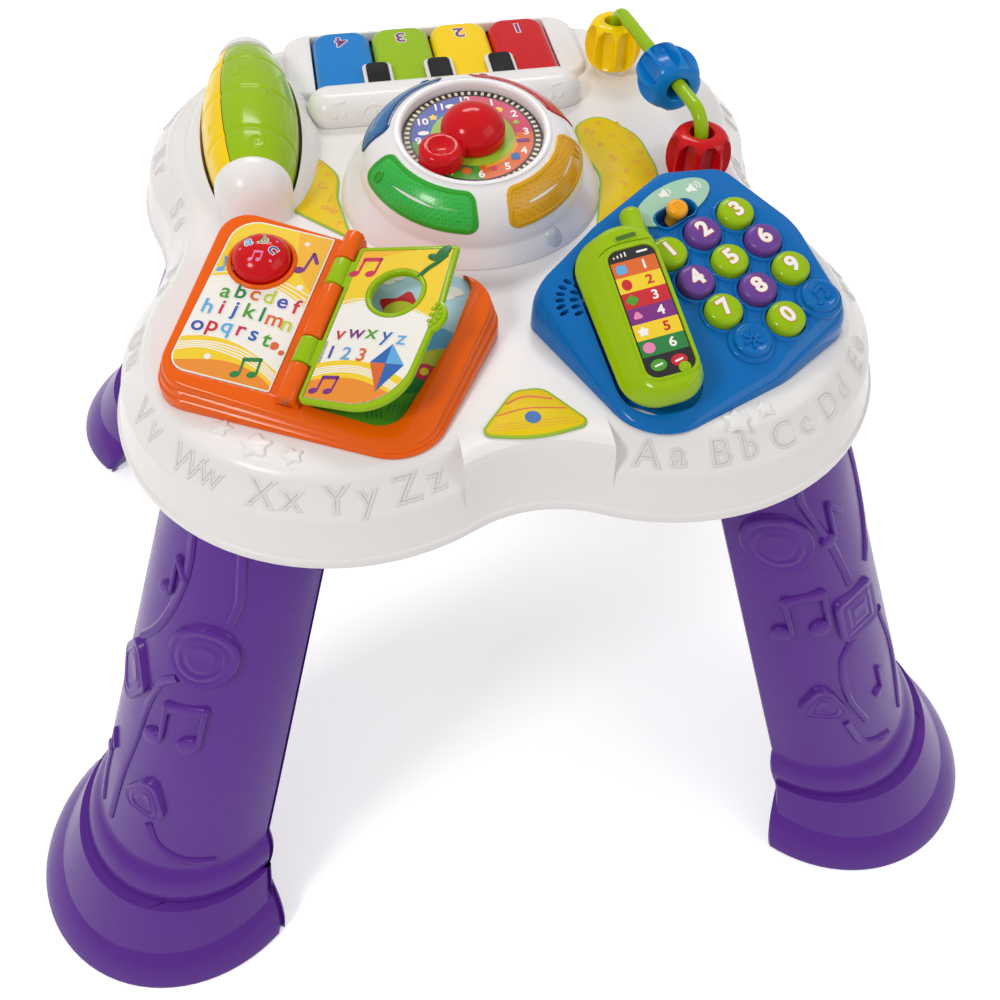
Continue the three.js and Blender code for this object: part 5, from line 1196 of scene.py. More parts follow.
def make_beads():
    """Open fluted beads: a core between two rims, with eight ribs."""
    half = bead.half

    def wide(share):
        return bead.end + (bead.radius - bead.end) * math.sqrt(max(0, 1 - (share * 0.98) ** 2))
    profile = [(bead.bore, -half + 0.5), (bead.bore + 0.5, -half), (bead.end - 0.6, -half)]
    profile += [(wide(s), s * (half - 0.45)) for s in [-1 + i / 12 for i in range(25)]]
    profile += [(bead.end - 0.6, half), (bead.bore + 0.5, half), (bead.bore, half - 0.5)]
    master = tool(revolved(profile, 96, True))
    tall = half - bead.rim
    reach = 30
    half_turn = math.pi / bead.ribs
    inner = bead.core * math.tan(half_turn) - bead.rib / 2
    outer = reach * math.tan(half_turn) - bead.rib / 2
    outline = [(bead.core, -inner, 0.8), (reach, -outer, 0.5), (reach, outer, 0.5), (bead.core, inner, 0.8)]
    pockets = []
    for i in range(bead.ribs):
        pockets.append(tool(layered(lambda inset: rounded(outline, inset, 4),
                                    [(2.2, -tall), (0, -tall + 3.4), (0, tall - 3.4), (2.2, tall)]),
                                    turned(360 * i / bead.ribs)))
    combine(master, pockets, angle=45)
    soften(master, 0.7, 3, 35, 45)
    stand = deck + rail.collar_height + seat + half
    hang = bead.bore - rail.radius - seat
    lying = Vector((0, 0, 1)).rotation_difference(rail_along).to_matrix().to_4x4()
    blue_at = Vector((*rail.rear, 0)) + rail_run * bead.blue_share + Vector((0, 0,
        deck + rail.height - hang))
    places = [("yellow", move(*rail.rear, stand) @ turned(11)),
              ("red", move(*rail.front, stand) @ turned(4)),
              ("blue", Matrix.Translation(blue_at) @ lying @ turned(22.5))]
    for name, at in places:
        mesh = master.data.copy()
        mesh.transform(Matrix.Scale(MM, 4) @ at @ Matrix.Scale(1 / MM, 4))
        made = bpy.data.objects.new(f"bead_{name}_cage", mesh)
        scene.collection.objects.link(made)
        mesh.materials.clear()
        mesh.materials.append(looks["key_blue" if name == "blue" else name])
        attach(made, f"bead_{name}")
        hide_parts(f"bead_{name}")
    bpy.data.objects.remove(master)


# Printed plates on the deck

left_shares = [[0.96, -0.98, 0.02], [0.66, -0.1, 1.8], [0.84, 0.38, 1.6], [0.34, 0.7, 1.4],
               [-0.24, 0.98, 0.3], [-0.38, 0.5, 0.8], [-0.5, 0.05, 1.2], [-1, -0.28, 0.1],
               [-0.4, -0.5, 1]]
right_shares = [[-1, -1, 0.1], [0.72, -0.76, 0.3], [0.98, -0.1, 2], [0.9, 0.5, 1.4], [0.16, 0.98, 0.7],
                [-0.6, 0.8, 0.6], [-0.66, 0.3, 1.4], [-0.42, -0.15, 1.4]]
name_shares = [[-0.98, -0.62, 0.25], [0, -1.02, 4], [0.98, -0.66, 0.25], [0.3, 0.98, 0.6],
               [-0.22, 0.98, 0.6]]
plates = {"left": (left_shares, -76, 7, 14, 40, 0.6), "right": (right_shares, 79, 8, 22, 50, 0.6),
          "name": (name_shares, 1, -159, 25, 14.5, 0.8)}


def plate_outline(which, inset=0.0):
    shares, x, y, half_x, half_y, thick = plates[which]
    size = min(half_x, half_y)
    return rounded([(x + u * half_x, y + v * half_y, w * size) for u, v, w in shares], inset, 8)


def make_plates():
    for which, node in (("left", "left_decal"), ("right", "right_decal"), ("name", "nameplate")):
        thick = plates[which][5]
        high = deck + seat + thick
        levels = [(0, deck + seat), (0, high - 0.25), (0.25, high)]
        shape = layered(lambda inset: plate_outline(which, inset), levels)
        border = piece(f"{which}_plate_border", shape, "lime_ink", stands_for=[node], slot="decal_yellow",
                       angle=50)
        levels = [(0, high - 0.2), (0, high + 0.05), (0.1, high + 0.1)]
        shape = layered(lambda inset: plate_outline(which, inset + 1.1), levels)
        face = piece(f"{which}_plate_face", shape, "label", slot="decal_yellow", angle=50)
        if which == "left":
            for obj in (border, face):
                room = tool(prism(ellipse(cradle.half_width + 0.8, cradle.half_length + 0.8, 96, roller.x,
                                          roller.y), deck - 2, deck + 5))
                combine(obj, [room], angle=50)
    marks = [("left", -73, 33, "A", -20), ("left", -70.5, 24, "c", 15), ("left", -74, 14, "C", 10),
             ("left", -71, 2, "1", -25), ("left", -70, -8, "B", 30), ("left", -74, -4, "o", 0),
             ("left", -67.5, -18, "r", -15), ("right", 80, 48, "o", 0), ("right", 90, 44, "7", 20),
             ("right", 73, 40, "N", -30), ("right", 84, 35, "c", 60), ("right", 94, 32, "2", -20),
             ("right", 76, 28, "e", 20), ("right", 88, 24, "1", 40), ("right", 96, 18, "u", -30),
             ("right", 80, 14, "5", 15), ("right", 91, 9, "o", 0), ("right", 84, 2, "z", -20),
             ("right", 95, -2, "C", 40), ("right", 80, -9, "3", 25), ("right", 90, -13, "n", -10),
             ("right", 77, -21, "e", 35), ("right", 86, -25, "8", -25), ("right", 70, -31, "A", 10),
             ("right", 80, -34, "s", 0), ("right", 66, -38, "1", 30)]
    for i, (which, x, y, mark, angle) in enumerate(marks):
        high = deck + seat + 0.6
        words(f"{which}_plate_mark_{i + 1}", mark, 7.4, "ink_pale", move(x, y, high + 0.12) @ turned(angle),
              thick=0.06, bold=0.12)
    high = deck + seat + 0.8
    lines = [stroke(-17 + i * 1.1, -166.6 + i * 1.5, 19 - i * 1.1, -166.9 + i * 1.5, 0.16, high,
                    high + 0.16) for i in range(3)]
    piece("name_plate_lines", merged(lines), "ink_pale", slot="decal_yellow")
    frame_line = [ribbon([(-9, -152.4), (0, -149.4), (11, -152.4)], 0.5, high, high + 0.18),
                  ribbon([(-14, -158.5), (0, -156.2), (16, -158.6)], 0.35, high, high + 0.18)]
    piece("name_plate_curves", merged(frame_line), "ink_orange", slot="decal_yellow")
    piece("name_plate_disc", pad(lambda inset: circle(3.4 - inset, 40, 1, -161.5), high, high + 0.2),
          "ink_blue", slot="decal_yellow")


# Book

book_home, book_top, book_height = leaning(book)
book_foot = [(-62, -51, 18), (62, -56, 23), (73.5, 43, 19), (-65, 49.5, 17)]
book_steps = [(0, 0), (0, 0.35), (0.05, 0.4), (0.22, 0.43), (0.3, 0.47), (0.3, 0.61), (0.35, 0.66),
              (0.54, 0.69), (0.62, 0.73), (0.62, 0.85), (0.67, 0.92), (0.8, 0.975), (1, 1)]
left_card = [(-55, -42.4, 8), (-9, -42.4, 1), (-9, 42.4, 1), (-55, 42.4, 13)]
right_card = [(9, -43.5, 1), (46, -45, 12), (56, 6, 40), (57, 41, 8), (9, 41.5, 1)]
page_card = [(5.4, -46, 3), (50, -48.5, 26), (53.5, 6, 40), (51.5, 41.5, 2), (5.4, 37, 2)]
knuckles = [-0.96, -0.58, -0.3, 0.29, 0.59, 0.92]
page = Sizes(thick=2.8, frame=2, recess=1, hole_x=30.5, hole_y=13, hole_r=11.3, tab_x=46.5, tab_y=2.5,
             tab_r=10)
letter_button = Sizes(x=-36, y=21, radius=13, rise=10.5, skirt=6, bezel=2.3)
page_at = book_top @ move(z=book.spine_rise) @ turned(-book.open, "Y")
lying_rod = turned(-90, "X")


def facing_up(outline):
    """The outline counter-clockwise."""
    area = sum(a[0] * b[1] - b[0] * a[1] for a, b in zip(outline, outline[1:] + outline[:1]))
    return outline if area > 0 else outline[::-1]


def art(name, shapes, look, corners, at, body, z, thick=0.1, inset=0.7, holes=()):
    """Flat coloured shapes kept inside a card's outline."""
    made = piece(name, merged([prism(facing_up(outline), z - 0.3, z + thick) for outline in shapes]), look,
                 body, at, slot="printed_card")
    keep = tool(prism(rounded(corners, inset, 8), z - 1, z + 1), at)
    combine(made, [keep], "INTERSECT")
    for x, y, r in holes:
        combine(made, [tool(prism(circle(r, 48, x, y), z - 2, z + 2), at)])
    return made


def knuckle(start, end, gap=0.3):
    y0, y1 = start * book.half + gap, end * book.half - gap
    r = book.spine_r
    return [(0.01, y0), (r - 0.7, y0), (r - 0.15, y0 + 0.25), (r, y0 + 0.8), (r, y1 - 0.8),
            (r - 0.15, y1 - 0.25), (r - 0.7, y1), (0.01, y1)]


def make_book():
    levels = []
    for inward, rise in book_steps:
        def height(x, y, rise=rise):
            return seat + (book_height(x, y) - seat) * rise
        levels.append(level(rounded(book_foot, book.inset * inward, 12), height))
    base = piece("book_body", loft(levels), "orange", at=book_home, stands_for=["book_base"], slot="orange",
                 angle=40)
    rooms = [tool(prism(rounded(left_card, -seat, 8), -book.card, 12), book_top),
             tool(prism(rounded(right_card, -seat, 8), -book.recess, 12), book_top)]
    bore = tool(prism(circle(letter_button.radius + 0.45, 64, letter_button.x, letter_button.y), -9.5, 12),
                book_top)
    for start, end in zip(knuckles[1::2], knuckles[2::2]):
        y0, y1 = start * book.half, end * book.half
        rooms.append(tool(prism(circle(book.spine_r + 0.45, 40), y0, y1),
                          book_top @ move(z=book.spine_rise) @ lying_rod))
    combine(base, rooms + [bore], angle=40)
    soften(base, 0.5, 2, 55, 40)
    bezel = revolved([(15.6, -1), (15.6, 0.2), (15.3, 1.1), (14.7, 1.6), (14, 1.6), (13.5, 1.2),
                      (13.45, -1)], 72, True)
    piece("button_bezel", bezel, "orange", at=book_top @ move(letter_button.x, letter_button.y),
          slot="orange", angle=60)
    for i, (start, end) in enumerate(zip(knuckles, knuckles[1:])):
        fixed = i % 2 == 0
        at = (book_top @ move(z=book.spine_rise) if fixed else page_at) @ lying_rod
        look, body = ("orange", "table") if fixed else ("green", "page")
        tube = revolved(knuckle(start, end), 56)
        recalculate(piece(f"knuckle_{i + 1}", tube, look, body, at, slot=look, angle=50))
        y0, y1 = start * book.half + seat, end * book.half - seat
        half = (y1 - y0) / 2
        if fixed:
            foot = layered(lambda inset: box_outline(5.4, half, 0.8, inset, 3, 0, (y0 + y1) / 2),
                           [(0, -0.8), (0, 1.6), (0.9, 3.2)])
            piece(f"knuckle_foot_{i + 1}", foot, "orange", at=book_top, slot="orange")
        else:
            arm = prism(box_outline(4.6, half, 0.8, 0, 3, 4.4, (y0 + y1) / 2), -1.3, 1.3)
            piece(f"page_arm_{i + 1}", arm, "green", "page", page_at, slot="green")
    make_left_card()
    make_right_card()
    make_page()
    make_letter_button()


def make_left_card():
    high = seat
    hole = (letter_button.x, letter_button.y, letter_button.radius + letter_button.bezel + 0.4)
    card = piece("left_card", prism(rounded(left_card, 0, 10), high - book.card, high), "paper",
                 at=book_top, stands_for=["book_left_card"], slot="printed_card")
    combine(card, [tool(prism(circle(hole[2], 64, *hole[:2]), -5, 5), book_top)])
    sweep = [(-62, 3), (-50, 9), (-36, 11), (-22, 8), (-4, 0)]
    low_sweep = [(-62, -30), (-48, -24), (-34, -23), (-20, -27), (-4, -35)]

    def region(curve, far):
        return smooth_path(curve, 10) + [Vector((-4, far)), Vector((-62, far))]
    holes = [hole]
    art("left_art_top", [region(sweep, 60)], "ink_yellow", left_card, book_top, "table", high, 0.06,
        holes=holes)
    art("left_art_gold", [region([(-30, 60), (-24, 36), (-18, 20), (-4, 6)], 60)], "ink_gold", left_card,
        book_top, "table", high, 0.1, holes=holes)
    art("left_art_low", [region(low_sweep, -60)], "ink_yellow", left_card, book_top, "table", high, 0.06)
    art("left_art_orange", [region([(-62, -42), (-46, -36), (-30, -33), (-16, -36), (-4, -44)], -60)],
        "ink_amber", left_card, book_top, "table", high, 0.1)
    lines = [ribbon([(-62, 1 + k * 2.4), (-48, 7 + k * 2.2), (-34, 9.6 + k * 1.6), (-20, 6.5 + k * 1.9),
                     (-4, -2 + k * 3)], 0.28, high, high + 0.14) for k in range(4)]
    lines += [ribbon([(-62, -33 - k * 1.6), (-46, -26.5 - k), (-30, -25.5 - k * 1.4), (-16, -30 - k * 1.2),
                      (-4, -38 - k)], 0.3, high, high + 0.14) for k in range(4)]
    made = piece("left_art_lines", merged(lines), "ink_white", at=book_top, slot="printed_card")
    combine(made, [tool(prism(rounded(left_card, 0.7, 8), -1, 3), book_top)], "INTERSECT")
    combine(made, [tool(prism(circle(hole[2], 64, *hole[:2]), -5, 5), book_top)])
    rows = [("abcdef", -45, 1, 6.4), ("hijklmn", -49.5, -8.8, 6), ("opqrst", -50, -18.6, 6.2)]
    colours = "orange green pink red olive dark_green blue sky violet".split()
    k = 0
    for text, x, y, step in rows:
        for i, mark in enumerate(text):
            look = f"ink_{colours[(k * 4 + 1) % len(colours)]}"
            bow = 2.2 * math.sin(math.pi * i / (len(text) - 1))
            at = book_top @ move(x + i * step, y + bow + i * 0.1, high + 0.2)
            edged_words(f"left_letter_{mark}", mark, 10.6, look, at, "table",
                        0.05, 0.2, 0.05, 0.6)
            k += 1
    for name, x, y, size, double, look, angle in (("violet", -16.5, 26, 14, False, "ink_purple", -8),
                                                  ("green", -22, -33.5, 12, True, "ink_dark_green", 4),
                                                  ("blue", -49.5, 16, 10, True, "ink_sky", 12)):
        piece(f"left_note_{name}", note(size, double, high - 0.1, high + 0.2), look,
              at=book_top @ move(x, y) @ turned(angle), slot="printed_card")
    for i, (x, y, r) in enumerate(((-15, 12, 1.6), (-15, -20, 2), (-11, -22.5, 1.3), (-40, -33, 1.5),
                                   (-20, 36, 1.2))):
        piece(f"left_dot_{i + 1}", pad(lambda inset: circle(r - inset, 24, x, y), high - 0.1, high + 0.18),
              "ink_orange" if i in (1, 2) else "paper", at=book_top, slot="printed_card")


def make_right_card():
    top = seat - book.recess + book.card
    piece("right_card", prism(rounded(right_card, 0, 10), top - book.card, top), "ink_haze", at=book_top,
          stands_for=["book_right_card"], slot="printed_card")

    def below(curve):
        return [Vector((0, -60)), Vector((70, -60))] + list(reversed(smooth_path(curve, 10)))
    layers = [("hill_far", [(0, 4), (18, 10), (34, 6), (50, 12), (70, 4)], "ink_sky", 0.06),
              ("hill_middle", [(0, -4), (20, 0), (38, -6), (54, 2), (70, 0)], "ink_olive", 0.1),
              ("hill_near", [(0, -16), (16, -12), (34, -18), (52, -8), (70, -10)], "ink_dark_green", 0.14),
              ("meadow", [(0, -26), (18, -24), (36, -28), (56, -20), (70, -22)], "ink_green", 0.18)]
    for name, curve, look, thick in layers:
        art(f"right_{name}", [below(curve)], look, right_card, book_top, "table", top, thick)
    blades = []
    for i in range(26):
        x = 11 + (i * 7.3) % 42
        y = -41 + (i * 5.1) % 15
        blades.append(stroke(x, y, x + (i % 3 - 1) * 1.2, y + 4 + i % 3, 0.28, top, top + 0.24))
    piece("right_grass", merged(blades), "ink_dark_green", at=book_top, slot="printed_card")
    sun = [("sun_rays", star(13, 0, 31, 15, 90, 0.62), "ink_red", 0.22),
           ("sun", circle(8.4, 40, 31, 12.5), "ink_olive", 0.28),
           ("ball", circle(4.2, 32, 49, -12), "ink_pink", 0.24),
           ("ball_band", circle(2, 24, 49, -12), "ink_yellow", 0.3)]
    for name, outline, look, thick in sun:
        piece(f"right_{name}", prism(outline, top, top + thick), look, at=book_top, slot="printed_card")
    for i, (x, y, w) in enumerate(((44, 30, 7), (49, 32.5, 5), (17, 30, 6), (22, 33, 4.4))):
        piece(f"right_cloud_{i + 1}", prism(ellipse(w, w * 0.5, 28, x, y), top, top + 0.2 + i * 0.03),
              "ink_white", at=book_top, slot="printed_card")


def make_page():
    low, high = -page.thick / 2, page.thick / 2
    ride = {"body": "page", "at": page_at, "slot": "green"}
    levels = [(0.5, low), (0, low + 0.5), (0, high - 0.8), (0.25, high - 0.2), (0.8, high)]
    frame_piece = piece("page_frame", layered(lambda inset: rounded(page_card, inset, 12), levels), "green",
                        stands_for=["book_page"], angle=40, **ride)
    tab_place = (page.tab_x, page.tab_y)
    tab = tool(layered(lambda inset: circle(page.tab_r - inset, 64, *tab_place), levels), page_at)
    combine(frame_piece, [tab], "UNION", 40)
    recess = tool(prism(rounded(page_card, page.frame, 12), high - page.recess, 8), page_at)
    hole = tool(prism(circle(page.hole_r, 72, page.hole_x, page.hole_y), -9, 9), page_at)
    combine(frame_piece, [recess, hole], angle=40)
    r = page.hole_r
    rim = revolved([(r + 2, high - 1.2), (r + 2, high), (r + 1.6, high + 0.45), (r + 1, high + 0.6),
                    (r + 0.4, high + 0.45), (r, high), (r, low), (r + 0.6, low)], 96, True)
    piece("page_hole_rim", rim, "green", "page", page_at @ move(page.hole_x, page.hole_y), slot="green",
          angle=60)
    face = high - page.recess + seat + 0.6
    holes = [(page.hole_x, page.hole_y, r + 2.3)]
    sheet = piece("page_sheet", prism(rounded(page_card, page.frame + 0.3, 10), face - 0.6, face), "paper",
                  "page", page_at, ["book_page_card"], "printed_card")
    combine(sheet, [tool(prism(circle(r + 2.3, 64, page.hole_x, page.hole_y), -9, 9), page_at)])

    def region(curve, far):
        return smooth_path(curve, 10) + [Vector((60, far)), Vector((0, far))]
    art("page_art_top", [region([(0, 0), (14, 7), (28, 8), (44, 3), (60, -4)], 60)], "ink_yellow",
        page_card, page_at, "page", face, 0.06, 2.4, holes)
    art("page_art_gold", [region([(0, 20), (10, 26), (22, 34), (44, 40), (60, 44)], 60)], "ink_gold",
        page_card, page_at, "page", face, 0.1, 2.4, holes)
    art("page_art_low", [region([(0, -30), (14, -25), (28, -24), (44, -29), (60, -36)], -60)], "ink_yellow",
        page_card, page_at, "page", face, 0.06, 2.4)
    art("page_art_orange", [region([(0, -38), (14, -34), (28, -33), (44, -38), (60, -44)], -60)],
        "ink_amber", page_card, page_at, "page", face, 0.1, 2.4)
    lines = [ribbon([(0, -4 + k * 2), (12, 4 + k * 1.8), (26, 6 + k), (40, 2 + k * 1.6), (56, -6 + k * 2)],
                    0.26, face, face + 0.14) for k in range(3)]
    lines += [ribbon([(0, -33 - k * 1.4), (14, -28 - k), (28, -27 - k), (42, -32 - k), (56, -40 - k)], 0.28,
                     face, face + 0.14) for k in range(4)]
    made = piece("page_art_lines", merged(lines), "ink_white", "page", page_at, slot="printed_card")
    combine(made, [tool(prism(rounded(page_card, 2.4, 8), -1, 3), page_at)], "INTERSECT")
    combine(made, [tool(prism(circle(r + 2.3, 64, page.hole_x, page.hole_y), -9, 9), page_at)])
    stem = [ribbon([(38, 22), (41, 27), (44.5, 31), (47.5, 35.5)], 1.1, face - 0.1, face + 0.7, 0.4),
            pad(lambda inset: tilted(ellipse(4.4 - inset, 2.4 - inset, 28), 60, 45.5, 36.5), face - 0.1,
                face + 0.8, 0.4),
            pad(lambda inset: tilted(ellipse(3 - inset, 1.8 - inset, 28), -12, 42, 33.5), face - 0.1,
                face + 0.7, 0.4)]
    piece("page_stem", merged(stem), "ink_leaf", "page", page_at, slot="green", angle=50)
    beads = [pad(lambda inset, a=a: circle(1.05 - inset, 16, page.tab_x + 7.3 * math.cos(math.radians(a)),
                                           page.tab_y + 7.3 * math.sin(math.radians(a))), high - 0.4,
                                           high + 0.7, 0.5) for a in range(-50, 60, 20)]
    beads += [pad(lambda inset: circle(1.1 - inset, 16, page.tab_x + 3.6, page.tab_y + k), high - 1.4,
                  high + 0.5, 0.5) for k in (-3.2, 0, 3.2)]
    piece("page_tab_beads", merged(beads), "green", "page", page_at, slot="green", angle=50)
    colours = "red purple green blue sky".split()
    for i, mark in enumerate("vwxyz"):
        bow = 1.8 * math.sin(math.pi * i / 4)
        at = page_at @ move(13 + i * 7, -11 + bow, face + 0.2)
        edged_words(f"page_letter_{mark}", mark, 10, f"ink_{colours[i]}", at, "page",
                    0.05, 0.1, 0.05, 0.45)
    for i, mark in enumerate("123"):
        words(f"page_number_{mark}", mark, 9, ["ink_violet", "ink_sky", "ink_orange"][i],
              page_at @ move(12 + i * 7, -21, face + 0.2), "page", 0.05, 0.1)
    for name, x, y, size, look in (("pink", 12.5, 26, 13, "ink_pink"),
                                   ("violet", 15, -37, 11, "ink_purple")):
        piece(f"page_note_{name}", note(size, True, face - 0.1, face + 0.2), look, "page",
              page_at @ move(x, y) @ turned(-6), slot="printed_card")
    kite = [("kite_blue", [(38, -14), (46, -24), (38, -38), (31, -24)], "ink_blue", 0.16),
            ("kite_sky", [(38, -14), (46, -24), (38, -24)], "ink_sky", 0.22),
            ("kite_orange", [(31, -24), (38, -24), (38, -38)], "ink_orange", 0.22)]
    for name, corners, look, thick in kite:
        piece(f"page_{name}", prism(facing_up([Vector(c) for c in corners]), face, face + thick), look,
              "page", page_at, slot="printed_card")


def button_height(x, y):
    share = min(1, math.hypot(x, y) / letter_button.radius)
    return letter_button.rise * (0.2 + 0.8 * math.sqrt(max(0, 1 - share ** 2)))


def make_letter_button():
    at = book_top @ move(letter_button.x, letter_button.y)
    rise, radius = letter_button.rise, letter_button.radius
    profile = [(0.01, -letter_button.skirt), (radius - 0.4, -letter_button.skirt),
               (radius, -letter_button.skirt + 0.4), (radius, rise * 0.2)]
    profile += [(radius * math.cos(a), rise * (0.2 + 0.8 * math.sin(a)))
                for a in [QUARTER * i / 20 for i in range(1, 21)]]
    piece("button_cap", revolved(profile, 96), "red", "letter_button", at, ["letter_button"], "red", 60)
    for mark, x, y, angle, look in (("a", -6.2, 2.6, 26, "ink_sky"), ("b", 0.2, 5.2, 0, "ink_green"),
                                    ("c", 6.2, 1.6, -26, "ink_violet")):
        for extra, bold, colour, thick in (("", 0.05, look, 0.22), ("_edge", 0.42, "ink_white", 0.12)):
            def lay(p, x=x, y=y, angle=angle):
                q = turned(angle) @ p
                return Vector((x + q.x, y + q.y, button_height(x + q.x, y + q.y) + q.z))
            words(f"button_{mark}{extra}", mark, 8.6, colour, at, "letter_button", thick, bold,
                  mapping=lay)
    shapes = [bent(note(6, True, -0.2, 0.18),
                   lambda p: Vector((p.x, p.y - 4.4, button_height(p.x, p.y - 4.4) + p.z)))]
    for x, y in ((-6, 7), (5.6, 6.6), (-8.5, -2), (6.6, -4.6)):
        dot = pad(lambda inset: circle(0.6 - inset, 14), -0.2, 0.15)
        shapes.append(bent(dot, lambda p: Vector((x + p.x, y + p.y,
                                                  button_height(x + p.x, y + p.y) + p.z))))
    recalculate(piece("button_note", merged(shapes), "ink_blush", "letter_button", at, slot="red"))


# Telephone

phone_home, phone_top, phone_height = leaning(phone)
phone_foot = [(-88, -49, 24), (-15, -54, 40), (32, -48, 14), (45, 0, 30), (37, 44, 12), (8, 57, 14),
              (-40, 51, 30), (-82, 42, 10)]
phone_plane = [(-75, -40, 24), (-15, -47, 40), (28, -42, 12), (40, 0, 30), (33, 41, 12), (7, 55, 14),
               (-38, 49, 30), (-70, 40, 10)]
handset_at = move(handset.x, handset.y, handset.z) @ turned(handset.lean, "X") @ turned(handset.side_lean,
    "Y") @ turned(handset.turn)
key_marks = ["1", "2", "3", "4", "5", "6", "7", "8", "9", "star", "0", "note"]
speaker_rows = [[(-66, 33), (-69.6, 32), (-72.3, 30), (-74.4, 27.6), (-76, 24.8), (-76.6, 21.6)],
                [(-64, 28.3), (-67.1, 26.7), (-69.6, 24), (-71.2, 20.8), (-72.2, 17.2)]]
volume = Sizes(x=-2.5, y=34, radius=4, rise=7, skirt=4, travel=6, plate_x=1, plate_y=40, half_x=21,
               half_y=9.5)


def phone_ring(rise, inward):
    """A ring on the way from the foot's outline to that of the leaning top."""
    steps = 9
    ring = []
    for p, q in zip(rounded(phone_foot, 0, steps), rounded(phone_plane, 0, steps)):
        x, y = p + (q - p) * inward
        ring.append(Vector((x, y, seat + (phone_height(x, y) - seat) * rise)))
    return ring


def handset_outline(inset, belly=0.0, steps=10):
    left, right = handset.left, handset.right
    return rounded([(-left - belly * 0.8, -handset.half, handset.corner + belly / 2),
                    (right, -handset.half, handset.corner),
                    (right, handset.top, handset.top_corner),
                    (-left - belly * 1.5, handset.top, handset.corner + belly)], inset, steps)


def make_phone():
    shares = smooth_path([(0, 0), (0.3, 0.02), (0.6, 0.1), (0.82, 0.33), (0.93, 0.62), (0.985, 0.88)], 4)
    rings = [phone_ring(p.x, p.y) for p in shares] + [phone_ring(1, 1)]
    base = piece("phone_body", loft(rings), "blue", at=phone_home, stands_for=["phone_base"], slot="blue",
                 angle=45)
    slope = handset.sunk - handset.thickness
    tools = [tool(prism(box_outline(90, 126, 1, 0, 2, handset.right + 0.9 - 90, 0), slope, 126),
                  handset_at),
             tool(prism(handset_outline(-0.45, handset.belly), -handset.thickness - 0.3, 20), handset_at),
             tool(prism(circle(handset.aerial_r + 0.45, 40), 0, handset.top + handset.aerial + 0.5),
                  handset_at @ move(handset.aerial_x, 0, -handset.thickness / 2) @ lying_rod)]
    for i, mark in enumerate(key_marks):
        if mark not in ("star", "note"):
            tools.append(tool(prism(circle(phone.key_r + 0.45, 40, *key_place(i)), -16, 12), phone_top))
    slot_half, slot_depth = volume.travel + volume.radius + 0.45, volume.radius + 0.45
    tools.append(tool(prism(box_outline(slot_half, slot_depth, slot_depth - 0.2, 0, 10, volume.x, volume.y),
                            -8.4, 12), phone_top))
    for row in speaker_rows:
        for i, (x, y) in enumerate(row):
            before, after = row[max(i - 1, 0)], row[min(i + 1, len(row) - 1)]
            angle = math.degrees(math.atan2(after[1] - before[1], after[0] - before[0]))
            tools.append(tool(prism(tilted(ellipse(2.1, 1.1, 24), angle + 90, x, y), -22, 12), phone_top))
    combine(base, tools, angle=45)
    soften(base, 0.7, 3, 42, 45)
    make_keys()
    make_volume()
    make_handset()


def key_place(index):
    return (index % 3 - 1) * phone.pitch_x, (1 - index // 3) * phone.pitch_y


def make_keys():
    r = phone.key_r
    for i, mark in enumerate(key_marks):
        at = phone_top @ move(*key_place(i))
        if mark in ("star", "note"):
            lower = [(r + 2.4, -1.4), (r + 2.2, 0.4), (r + 1.7, 1.3), (r + 0.9, 1.6), (r + 0.2, 1.7),
                     (r, 2.2), (r - 0.1, 3.1), (r - 0.6, 3.7), (r - 1.6, 3.9), (r - 2.2, 3.7),
                     (r - 2.8, 3.3), (0.01, 3.2)]
            piece(f"phone_boss_{mark}", revolved(lower, 72), "blue", at=at, slot="blue", angle=50)
            if mark == "star":
                arms = [stroke(1.3 * math.cos(math.radians(a)), 1.3 * math.sin(math.radians(a)),
                               3.6 * math.cos(math.radians(a)), 3.6 * math.sin(math.radians(a)), 0.75, 3,
                               4.1, 0.5) for a in range(0, 360, 60)]
                piece("phone_boss_star_mark", merged(arms), "blue", at=at, slot="blue", angle=60)
            else:
                piece("phone_boss_note_mark", note(8.4, True, 3, 4.2, 0.35), "blue", at=at, slot="blue",
                      angle=60)
            continue
        look = "key_purple" if mark in "2468" else "green"
        body = f"phone_key_{mark}"
        top = phone.key_rise
        profile = [(0.01, -phone.skirt), (r, -phone.skirt), (r, top * 0.5), (r - 0.25, top * 0.68),
                   (r - 0.8, top * 0.82), (r - 1.7, top * 0.92), (r - 3.2, top * 0.98), (r * 0.3, top),
                   (0.01, top)]
        piece(f"{body}_cap", revolved(profile, 64), look, body, at, [body], look, 60)
        lift = at @ move(z=top - 0.02)
        words(f"{body}_digit", mark, 10.8, "ink_white", lift @ move(z=0.06), body, 0.08, 0.42)
        words(f"{body}_digit_edge", mark, 10.8, "ink_orange", lift, body, 0.06, 0.72)
        collar = [(r + 2.6, -1.2), (r + 2.3, 0.2), (r + 1.6, 0.9), (r + 0.9, 1), (r + 0.5, 0.7),
                  (r + 0.5, -1.2)]
        piece(f"key_collar_{mark}", revolved(collar, 64, True), "blue", at=at, slot="blue", angle=60)


